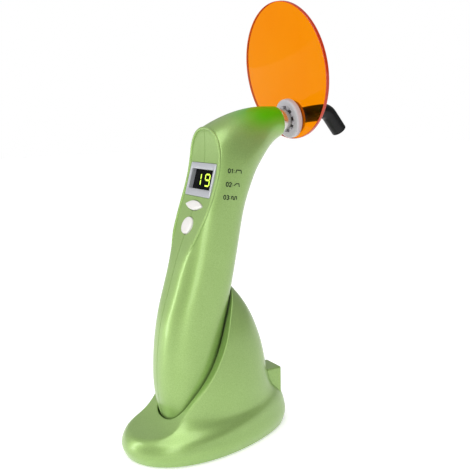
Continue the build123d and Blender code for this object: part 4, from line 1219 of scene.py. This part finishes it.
print("ferrule:", count_triangles(ferrule), "hub:", count_triangles(hub_body), "triangles")

# %% [markdown]
# ## The hub's gripping fingers
# Eight short fingers inside the hub press on the ferrule, with dark slots between them. One finger is
# made, and Geometry Nodes stand it on eight points round the axis.

# %% Gripping fingers
FINGERS = 8
FINGER_INNER, FINGER_OUTER = 5.68, 7.65
FINGER_BACK, FINGER_FRONT = 9.4, 6.75
FINGER_TIP_MIDDLE, FINGER_TIP_SHARE = (6.66, 0.0), 0.86
SLOT_WIDTH = 2.8
turn_step = 2 * math.pi / FINGERS
finger_half = (turn_step * (FINGER_INNER + FINGER_OUTER) / 2 - SLOT_WIDTH) / 2
finger_outline = oblong(FINGER_OUTER - FINGER_INNER, 2 * finger_half, 0.15,
                        middle=((FINGER_OUTER + FINGER_INNER) / 2, 0), steps=3)
finger_tip = (finger_outline - FINGER_TIP_MIDDLE) * FINGER_TIP_SHARE + FINGER_TIP_MIDDLE
finger = loft("finger", [
    on_plane(flat, finger_outline, -FINGER_BACK),
    on_plane(flat, finger_outline, -FINGER_FRONT - 0.15),
    on_plane(flat, finger_tip, -FINGER_FRONT),
])
finger_turns = [(0, 0, turn_step * (k + 0.5)) for k in range(FINGERS)]
fingers = repeat_on_points("hub_fingers", points_object("finger_points", np.zeros((FINGERS, 3))), finger,
                           finger_turns, np.ones((FINGERS, 3)), grey_hub)
flat_to_plane(fingers, (RIM, HEAD_UP, LEFT_WAY, -HEAD_OUT))
hub = join([hub_body, fingers], "shield_hub_moulded")
smooth(hub)
print("fingers:", FINGERS, "hub:", count_triangles(hub), "triangles")

# %% [markdown]
# ## Eye shield
# The disc is cut from 2.1 mm orange acrylic and hangs off centre on the hub. Its polished rim gathers
# light from inside the sheet and glows a deeper red; that glow is painted, as a darker red finish of
# its own on the rim faces.

# %% Shield disc
DISC_RADIUS = 39.2
DISC_OFFSET = 26.8
DISC_TURN = math.radians(3.4)
DISC_SHIFT = DISC_OFFSET * (math.cos(DISC_TURN) * HEAD_UP + math.sin(DISC_TURN) * LEFT_WAY)
DISC_EDGE = 0.35
DISC_STEPS = 192


def disc_loop(distance, radius, shift):
    """Circle on the disc at a distance from the rim, moved off the light guide's axis by a shift."""
    turns = np.linspace(0, 2 * math.pi, DISC_STEPS, endpoint=False)
    circle = np.outer(np.cos(turns), HEAD_UP) - np.outer(np.sin(turns), LEFT_WAY)
    return RIM + distance * HEAD_OUT + shift + radius * circle


bevel_turns = np.linspace(0, math.pi / 2, 5)
bevel = [(DISC_EDGE * (1 - math.cos(t)), DISC_RADIUS - DISC_EDGE * (1 - math.sin(t))) for t in bevel_turns]
disc_loops = [disc_loop(DISC_BACK, DISC_BORE, 0)]
disc_loops += [disc_loop(DISC_BACK + depth, radius, DISC_SHIFT) for depth, radius in bevel]
disc_loops += [disc_loop(DISC_FRONT - depth, radius, DISC_SHIFT) for depth, radius in bevel[::-1]]
disc_loops += [disc_loop(DISC_FRONT, DISC_BORE, 0)]
disc = loft("shield_disc_acrylic", disc_loops, ring=True, sharp=60)
print("disc:", count_triangles(disc), "triangles")

# %% [markdown]
# ## Light guide
# A bundle of glass fibres 8 mm across in a dark sheath, bent once near its end. A circle is carried
# along the middle line, and the tip is ground flat with a rounded edge. The sheath, 0.6 mm thick,
# starts where the ferrule ends.

# %% Light guide rod
ROD_RADIUS = 4.0
SHEATH_RADIUS = 4.6
SHEATH_START = 15.8
ROD_START, ROD_CORNER = -16.5, 36.6
ROD_BEND = math.radians(60)
ROD_BEND_RADIUS = 7.5
ROD_TIP = 16.4
ROD_EDGE = 0.35
TIP_EDGE = 0.6
ROD_SIDES = 64
STRAIGHT_STATIONS, BEND_STATIONS = 12, 26


def rod_line():
    """Middle line of the rod as points and directions."""
    run = ROD_BEND_RADIUS * math.tan(ROD_BEND / 2)
    tip_way = math.cos(ROD_BEND) * HEAD_OUT - math.sin(ROD_BEND) * HEAD_UP
    straight = np.linspace(SHEATH_START + 0.01, ROD_CORNER - run, STRAIGHT_STATIONS)
    stations = [ROD_START, SHEATH_START, *straight]
    points = [(RIM + d * HEAD_OUT, HEAD_OUT) for d in stations]
    centre = RIM + (ROD_CORNER - run) * HEAD_OUT - ROD_BEND_RADIUS * HEAD_UP
    for turn in np.linspace(0, ROD_BEND, BEND_STATIONS)[1:-1]:
        out = math.sin(turn) * HEAD_OUT + math.cos(turn) * HEAD_UP
        way = math.cos(turn) * HEAD_OUT - math.sin(turn) * HEAD_UP
        points.append((centre + ROD_BEND_RADIUS * out, way))
    corner_point = RIM + ROD_CORNER * HEAD_OUT
    points += [(corner_point + d * tip_way, tip_way) for d in np.linspace(run, ROD_TIP, STRAIGHT_STATIONS)]
    return points


def rod_loops():
    line = rod_line()
    turns = np.linspace(0, 2 * math.pi, ROD_SIDES, endpoint=False)
    loops = []
    for i, (point, way) in enumerate(line):
        normal = np.cross(LEFT_WAY, way)
        ring = np.outer(np.cos(turns), normal) + np.outer(np.sin(turns), LEFT_WAY)
        if i == 0:
            loops.append(point + (ROD_RADIUS - ROD_EDGE) * ring)
            loops.append(point + ROD_EDGE * way + ROD_RADIUS * ring)
        elif i == 1:
            loops.append(point + ROD_RADIUS * ring)
            loops.append(point + (SHEATH_RADIUS - ROD_EDGE) * ring)
            loops.append(point + ROD_EDGE * way + SHEATH_RADIUS * ring)
        elif i == len(line) - 1:
            for turn in np.linspace(0, math.pi / 2, 5):
                loops.append(point - TIP_EDGE * (1 - math.sin(turn)) * way
                             + (SHEATH_RADIUS - TIP_EDGE * (1 - math.cos(turn))) * ring)
        elif i > 2:
            loops.append(point + SHEATH_RADIUS * ring)
    return loops


rod = loft("light_guide_rod", rod_loops(), sharp=40)
print("rod:", count_triangles(rod), "triangles")

# %% [markdown]
# ## Mode marks
# The right half is pad printed with three rows: a number, a colon and a small curve that shows how
# the lamp's power runs in that mode. Each stroke is a thin ribbon in the plane of the row. All are
# cut into small faces and pressed along Y onto the shell, where they stand 0.04 mm proud.

# %% Mode marks
MARK_MIDDLES = ((10.6, 156.2), (9.1, 149.1), (7.3, 142.3))
MARK_SLOPE = math.radians(-8)
MARK_HEIGHT = 2.2
NUMBER_WIDTH = 1.25
NUMBER_LEFT, COLON_LEFT, CURVE_LEFT = 1.75, 3.5, 4.6
COLON_HEIGHTS, COLON_HALF = (0.25, 0.7), 0.15
CURVE_WIDTH = 3.6
ROW_WIDTH = 8.2
INK_WIDTH = 0.55
INK_PROUD = 0.04
INK_STEP = 0.12
ZERO = [(0.5 + 0.5 * math.cos(t), 0.5 + 0.5 * math.sin(t)) for t in np.linspace(0, 2 * math.pi, 17)]
ONE = [(0.15, 0.78), (0.55, 1.0), (0.55, 0.0)]
TWO = [(0.05, 0.74)] + [(0.5 + 0.45 * math.cos(t), 0.72 + 0.28 * math.sin(t))
                        for t in np.linspace(math.pi * 0.85, -math.pi * 0.2, 8)] + [(0.05, 0.0), (0.98, 0.0)]
THREE = [(0.5 + 0.42 * math.cos(t), 0.76 + 0.24 * math.sin(t)) for t in np.linspace(2.6, -1.5, 9)]
THREE += [(0.5 + 0.48 * math.cos(t), 0.26 + 0.26 * math.sin(t)) for t in np.linspace(1.5, -2.6, 9)]
STEADY = [(0, 0.1), (0.1, 0.85), (0.9, 0.85), (1, 0.1)]
RISING = [(0, 0.3), (0.45, 0.85), (0.9, 0.85), (1, 0.1)]
PULSED = [(0, 0.1), (0.06, 0.85), (0.3, 0.85), (0.36, 0.1), (0.6, 0.1), (0.66, 0.85), (0.94, 0.85), (1, 0.1)]


def ribbon(line, width):
    """Points and faces of a ribbon along a line of points, in its plane."""
    line = np.asarray(line, float)
    along = np.gradient(line, axis=0)
    along /= np.linalg.norm(along, axis=1)[:, None]
    across = np.stack([-along[:, 1], along[:, 0]], axis=1) * width / 2
    points = np.concatenate([line + across, line - across])
    count = len(line)
    return points, [(i + 1, i, i + count, i + 1 + count) for i in range(count - 1)]


def fine_line(line):
    """The same line with points no further apart than a small step."""
    line = np.asarray(line, float)
    result = [line[0]]
    for a, b in zip(line[:-1], line[1:]):
        parts = max(1, int(math.ceil(np.linalg.norm(b - a) / INK_STEP)))
        result += [a + (b - a) * k / parts for k in range(1, parts + 1)]
    return result


def row_lines(number, curve):
    """Lines of one row in millimetres, starting at its left end."""
    shapes = [
        (ZERO, 0.0, NUMBER_WIDTH), (number, NUMBER_LEFT, NUMBER_WIDTH), (curve, CURVE_LEFT, CURVE_WIDTH)]
    lines = [[(left + x * width, y * MARK_HEIGHT) for x, y in shape] for shape, left, width in shapes]
    for share in COLON_HEIGHTS:
        y = share * MARK_HEIGHT
        lines.append([(COLON_LEFT, y - COLON_HALF), (COLON_LEFT, y + COLON_HALF)])
    return lines


def mode_marks(shell):
    """All three rows, pressed along Y onto a shell."""
    mesh = shell.data
    tree = BVHTree.FromPolygons([v.co for v in mesh.vertices], [tuple(p.vertices) for p in mesh.polygons])
    points, faces = [], []
    for (middle_x, middle_z), number, curve in zip(MARK_MIDDLES, (ONE, TWO, THREE), (STEADY, RISING, PULSED)):
        for line in row_lines(number, curve):
            flat_points, flat_faces = ribbon(fine_line(line), INK_WIDTH)
            start = len(points)
            for x, y in flat_points:
                u, v = x - ROW_WIDTH / 2, y - MARK_HEIGHT / 2
                place_x = middle_x + u * math.cos(MARK_SLOPE) - v * math.sin(MARK_SLOPE)
                place_z = middle_z + u * math.sin(MARK_SLOPE) + v * math.cos(MARK_SLOPE)
                spot, normal = tree.ray_cast(Vector((place_x, -40, place_z)) * MM, Vector((0, 1, 0)))[:2]
                points.append(np.array(spot + normal * INK_PROUD * MM) / MM)
            faces += [tuple(start + k for k in face) for face in flat_faces]
    return make_piece("mode_marks", points, faces)


marks = mode_marks(shell_right)
print("mode marks:", count_triangles(marks), "triangles, lowest Y", round(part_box("shell_right")[0][1], 4))

# %% [markdown]
# ## The bead round the face
# A fine raised bead follows the edge where the flat face meets the round body. It starts at the
# seam over the arch, runs down beside the display and sinks into the body below the keys, where the
# edge turns soft. Each half carries its own side of it.

# %% Bead round the face
BEAD_RADIUS = 0.78
BEAD_SINK = 0.12
BEAD_END, BEAD_FADE = 106.0, 16.0
BEAD_THINNEST = 0.1
BEAD_POINTS, BEAD_SIDES = 150, 12
FACE_TOP = 195.0
SEARCH_STATIONS, SEARCH_STEP = 4000, 0.04
FACE_OUT = np.array((-0.98, 0.0, 0.2))


def face_edge():
    """Where the flat face meets the body on the -Y side, from the seam down."""
    ring, centre, span, forward = handle_frame(np.linspace(0, HANDLE_WAY, SEARCH_STATIONS))
    line = []
    for z in np.arange(FACE_TOP, BEAD_END, -SEARCH_STEP):
        offset = np.array((float(face_x(z)), z)) - centre
        aside = offset[:, 0] * forward[:, 1] - offset[:, 1] * forward[:, 0]
        i = int(np.argmin(np.abs(aside)))
        ahead = abs(offset[i] @ forward[i]) / (span[i] / 2)
        if ahead < 1:
            n = ring[i, 5]
            line.append((float(face_x(z)), -ring[i, 4] * (1 - ahead ** n) ** (1 / n), z))
    line.insert(0, (line[0][0], 0.0, line[0][2]))
    return spaced(np.array(line), BEAD_POINTS)


def bead(name, side):
    """One half's bead, on the -Y side or mirrored to +Y."""
    line = face_edge()
    along = np.gradient(line, axis=0)
    along[0] = (0.0, -1.0, 0.0)
    along /= np.linalg.norm(along, axis=1)[:, None]
    turns = np.linspace(0, 2 * math.pi, BEAD_SIDES, endpoint=False)
    loops = []
    for point, way in zip(line, along):
        out = FACE_OUT - (FACE_OUT @ way) * way
        out /= np.linalg.norm(out)
        share = min((point[2] - BEAD_END) / BEAD_FADE, 1.0)
        radius = BEAD_RADIUS * max(share, BEAD_THINNEST)
        middle = point - out * (BEAD_SINK + BEAD_RADIUS * (1 - share))
        ring = np.outer(np.cos(turns), out) + np.outer(np.sin(turns), np.cross(way, out))
        loops.append(middle + radius * ring)
    loops = np.array(loops) * (1.0, side, 1.0)
    return loft(name, loops if side > 0 else loops[:, ::-1])


shell_right = join([shell_right, bead("bead_right", 1)], "handpiece_right")
shell_left = join([shell_left, bead("bead_left", -1)], "handpiece_left")
print("bead's length:", round(way_along(face_edge())[-1], 1), "mm a side")

# %% [markdown]
# ## Putting the finishes on
# New pieces take one finish each, and the shield and the rod a second one for their edges. The CAD
# pieces that keep their shape get theirs by name.

# %% Assign finishes
PAINTED_GLOW_BAND = 0.3
TIP_BAND = 0.02


def coat(piece, *materials):
    piece.data.materials.clear()
    for material in materials:
        piece.data.materials.append(material)


for material, pieces in (
    (pearl, (shell_right, shell_left, cradle)), (white_silicone, (mode_cap, power_cap)),
    (silver_lacquer, (display_frame,)), (smoked, (display_glass,)), (lit_bar, (digits,)), (ink, (marks,)),
    (chrome, (trim_ring,)), (ferrule_steel, (ferrule,)), (grey_hub, (hub, clip)),
):
    for piece in pieces:
        coat(piece, material)
coat(disc, orange, rim_painted_glow)
coat(rod, sheath, fibre_end)

# Faces in a narrow band at the disc's edge take the painted red rim glow.
for face in disc.data.polygons:
    offset = np.array(face.center) / MM - RIM - DISC_SHIFT
    radial = offset - offset.dot(HEAD_OUT) * HEAD_OUT
    face.material_index = 1 if np.linalg.norm(radial) > DISC_RADIUS - PAINTED_GLOW_BAND else 0
tip_point, tip_way = rod_line()[-1]
for face in rod.data.polygons:
    beyond = (np.array(face.center) / MM - tip_point).dot(tip_way)
    face.material_index = 1 if beyond > -TIP_BAND else 0

CAD_FINISHES = {
    "base_plate": grey_plate, "base_sole": sole_rubber, "base_screws": screw_steel,
    "charge_board": board, "charge_pins": gold, "dc_jack": black_plastic, "shell_screws": screw_steel,
    "display_module": black_plastic, "display_board": board, "control_board": board,
    "mode_switch": black_plastic, "power_switch": black_plastic, "buzzer": black_plastic,
    "battery_cell": cell_wrap, "tail_contacts": gold, "guide_socket": socket_aluminium,
    "lens_holder": socket_aluminium, "collimator_lens": lens_glass, "led_emitter": emitter_gel,
    "led_star": cast_aluminium, "heat_sink": cast_aluminium, "guide_seal": rubber,
}
for name, material in CAD_FINISHES.items():
    coat(nodes[name], material)
print("finished CAD pieces:", len(CAD_FINISHES))

# %% [markdown]
# ## Floor and light
# A pale floor in a white room, as in the photograph. It glows a little, so that it stays as pale as
# the room. What the camera sees, directly or through the
# shield, is plain white. What lights the object is softer and falls off towards the camera's side,
# so that the lacquer reflects bright edges round a deeper middle. Large lamps add the soft bands.

# %% Floor and light
bpy.context.scene.view_settings.view_transform = "Standard"
FLOOR_HALF = 3.0
FLOOR_GLOW = 0.38
floor_corners = [(x * FLOOR_HALF, y * FLOOR_HALF, 0) for x, y in ((-1, -1), (1, -1), (1, 1), (-1, 1))]
floor_mesh = bpy.data.meshes.new("floor")
floor_mesh.from_pydata(floor_corners, [], [(0, 1, 2, 3)])
floor = bpy.data.objects.new("floor", floor_mesh)
bpy.context.scene.collection.objects.link(floor)
pale_board = finish("pale_matt_board", {"Emission Color": linear("#FFFFFF"), "Emission Strength": FLOOR_GLOW})
coat(floor, wear(pale_board, 3.0, 0.7, 0.8, [(0.3, "#F6F6F6"), (0.7, "#FAFAFA")]))

ROOM_FRONT, ROOM_BACK = 0.12, 0.5
world = bpy.data.worlds.new("white_room")
world.use_nodes = True
room = world.node_tree
room.nodes.clear()
ray = add_node(room, "ShaderNodeLightPath")
direction = add_node(room, "ShaderNodeTexCoord")
behind = add_node(room, "ShaderNodeVectorMath", {"operation": "DOT_PRODUCT"}, {
    0: direction.outputs["Generated"], 1: (-0.3, 0.7, 0.6)})
soft_room = add_node(room, "ShaderNodeMapRange", {}, {
    "Value": behind.outputs["Value"], "From Min": -0.6, "From Max": 0.8,
    "To Min": ROOM_FRONT, "To Max": ROOM_BACK})
seen = add_node(room, "ShaderNodeMath", {"operation": "MAXIMUM"}, {
    0: ray.outputs["Is Camera Ray"], 1: ray.outputs["Is Transmission Ray"]})
strength = add_node(room, "ShaderNodeMix", {}, {
    0: seen.outputs["Value"], 2: soft_room.outputs["Result"], 3: 1.0})
background = add_node(room, "ShaderNodeBackground", {}, {
    "Color": linear("#FFFFFF"), "Strength": strength.outputs[0]})
add_node(room, "ShaderNodeOutputWorld", {}, {"Surface": background.outputs["Background"]})
bpy.context.scene.world = world


def soft_lamp(name, place, target, width, height, power):
    """Area lamp at a place in metres, turned to a target, and not seen through the shield."""
    data = bpy.data.lights.new(name, "AREA")
    data.shape = "RECTANGLE"
    data.size = width
    data.size_y = height
    data.energy = power
    lamp = bpy.data.objects.new(name, data)
    lamp.location = place
    lamp.rotation_euler = (Vector(target) - Vector(place)).to_track_quat("-Z", "Y").to_euler()
    lamp.visible_camera = False
    lamp.visible_transmission = False
    bpy.context.scene.collection.objects.link(lamp)


sun = bpy.data.objects.new("sky_lamp", bpy.data.lights.new("sky_lamp", "SUN"))
sun.data.energy = 1.3
sun.data.angle = math.radians(50)
sun.rotation_euler = (math.radians(20), math.radians(-15), 0)
bpy.context.scene.collection.objects.link(sun)
middle = (0.0, 0.0, 0.12)
soft_lamp("front_lamp", (-0.38, -0.62, 0.36), middle, 0.3, 0.6, 1.9)
soft_lamp("strip_lamp", (-0.6, 0.3, 0.25), middle, 0.14, 0.5, 1.3)

# %% [markdown]
# ## Handing the pieces over
# Each piece names the CAD nodes that it stands for, the body that carries it and the slot of its
# finish.

# %% Hand the pieces over
PIECES = (
    (cradle, "cradle", "green_shell", ("base_shell",)),
    (shell_right, "handpiece", "green_shell", ("shell_right",)),
    (shell_left, "handpiece", "green_shell", ("shell_left",)),
    (display_frame, "handpiece", "bezel_silver", ("display_bezel",)),
    (display_glass, "handpiece", "dark_window", ("display_window",)),
    (digits, "handpiece", "dark_window", ()),
    (marks, "handpiece", "green_shell", ()),
    (mode_cap, "mode_key", "white_key", ("mode_button",)),
    (power_cap, "power_key", "white_key", ("power_button",)),
    (trim_ring, "handpiece", "chrome", ("trim_ring",)),
    (ferrule, "light_guide", "steel", ("guide_ferrule",)),
    (rod, "light_guide", "guide_glass", ("guide_rod",)),
    (hub, "shield", "hub_grey", ("shield_hub",)),
    (disc, "shield", "orange_shield", ("shield_disc",)),
    (clip, "shield", "hub_grey", ("shield_clip",)),
)
for piece, body, slot, stands_for in PIECES:
    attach(piece, body)
    if stands_for:
        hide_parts(*stands_for)
print("pieces:", len(PIECES))
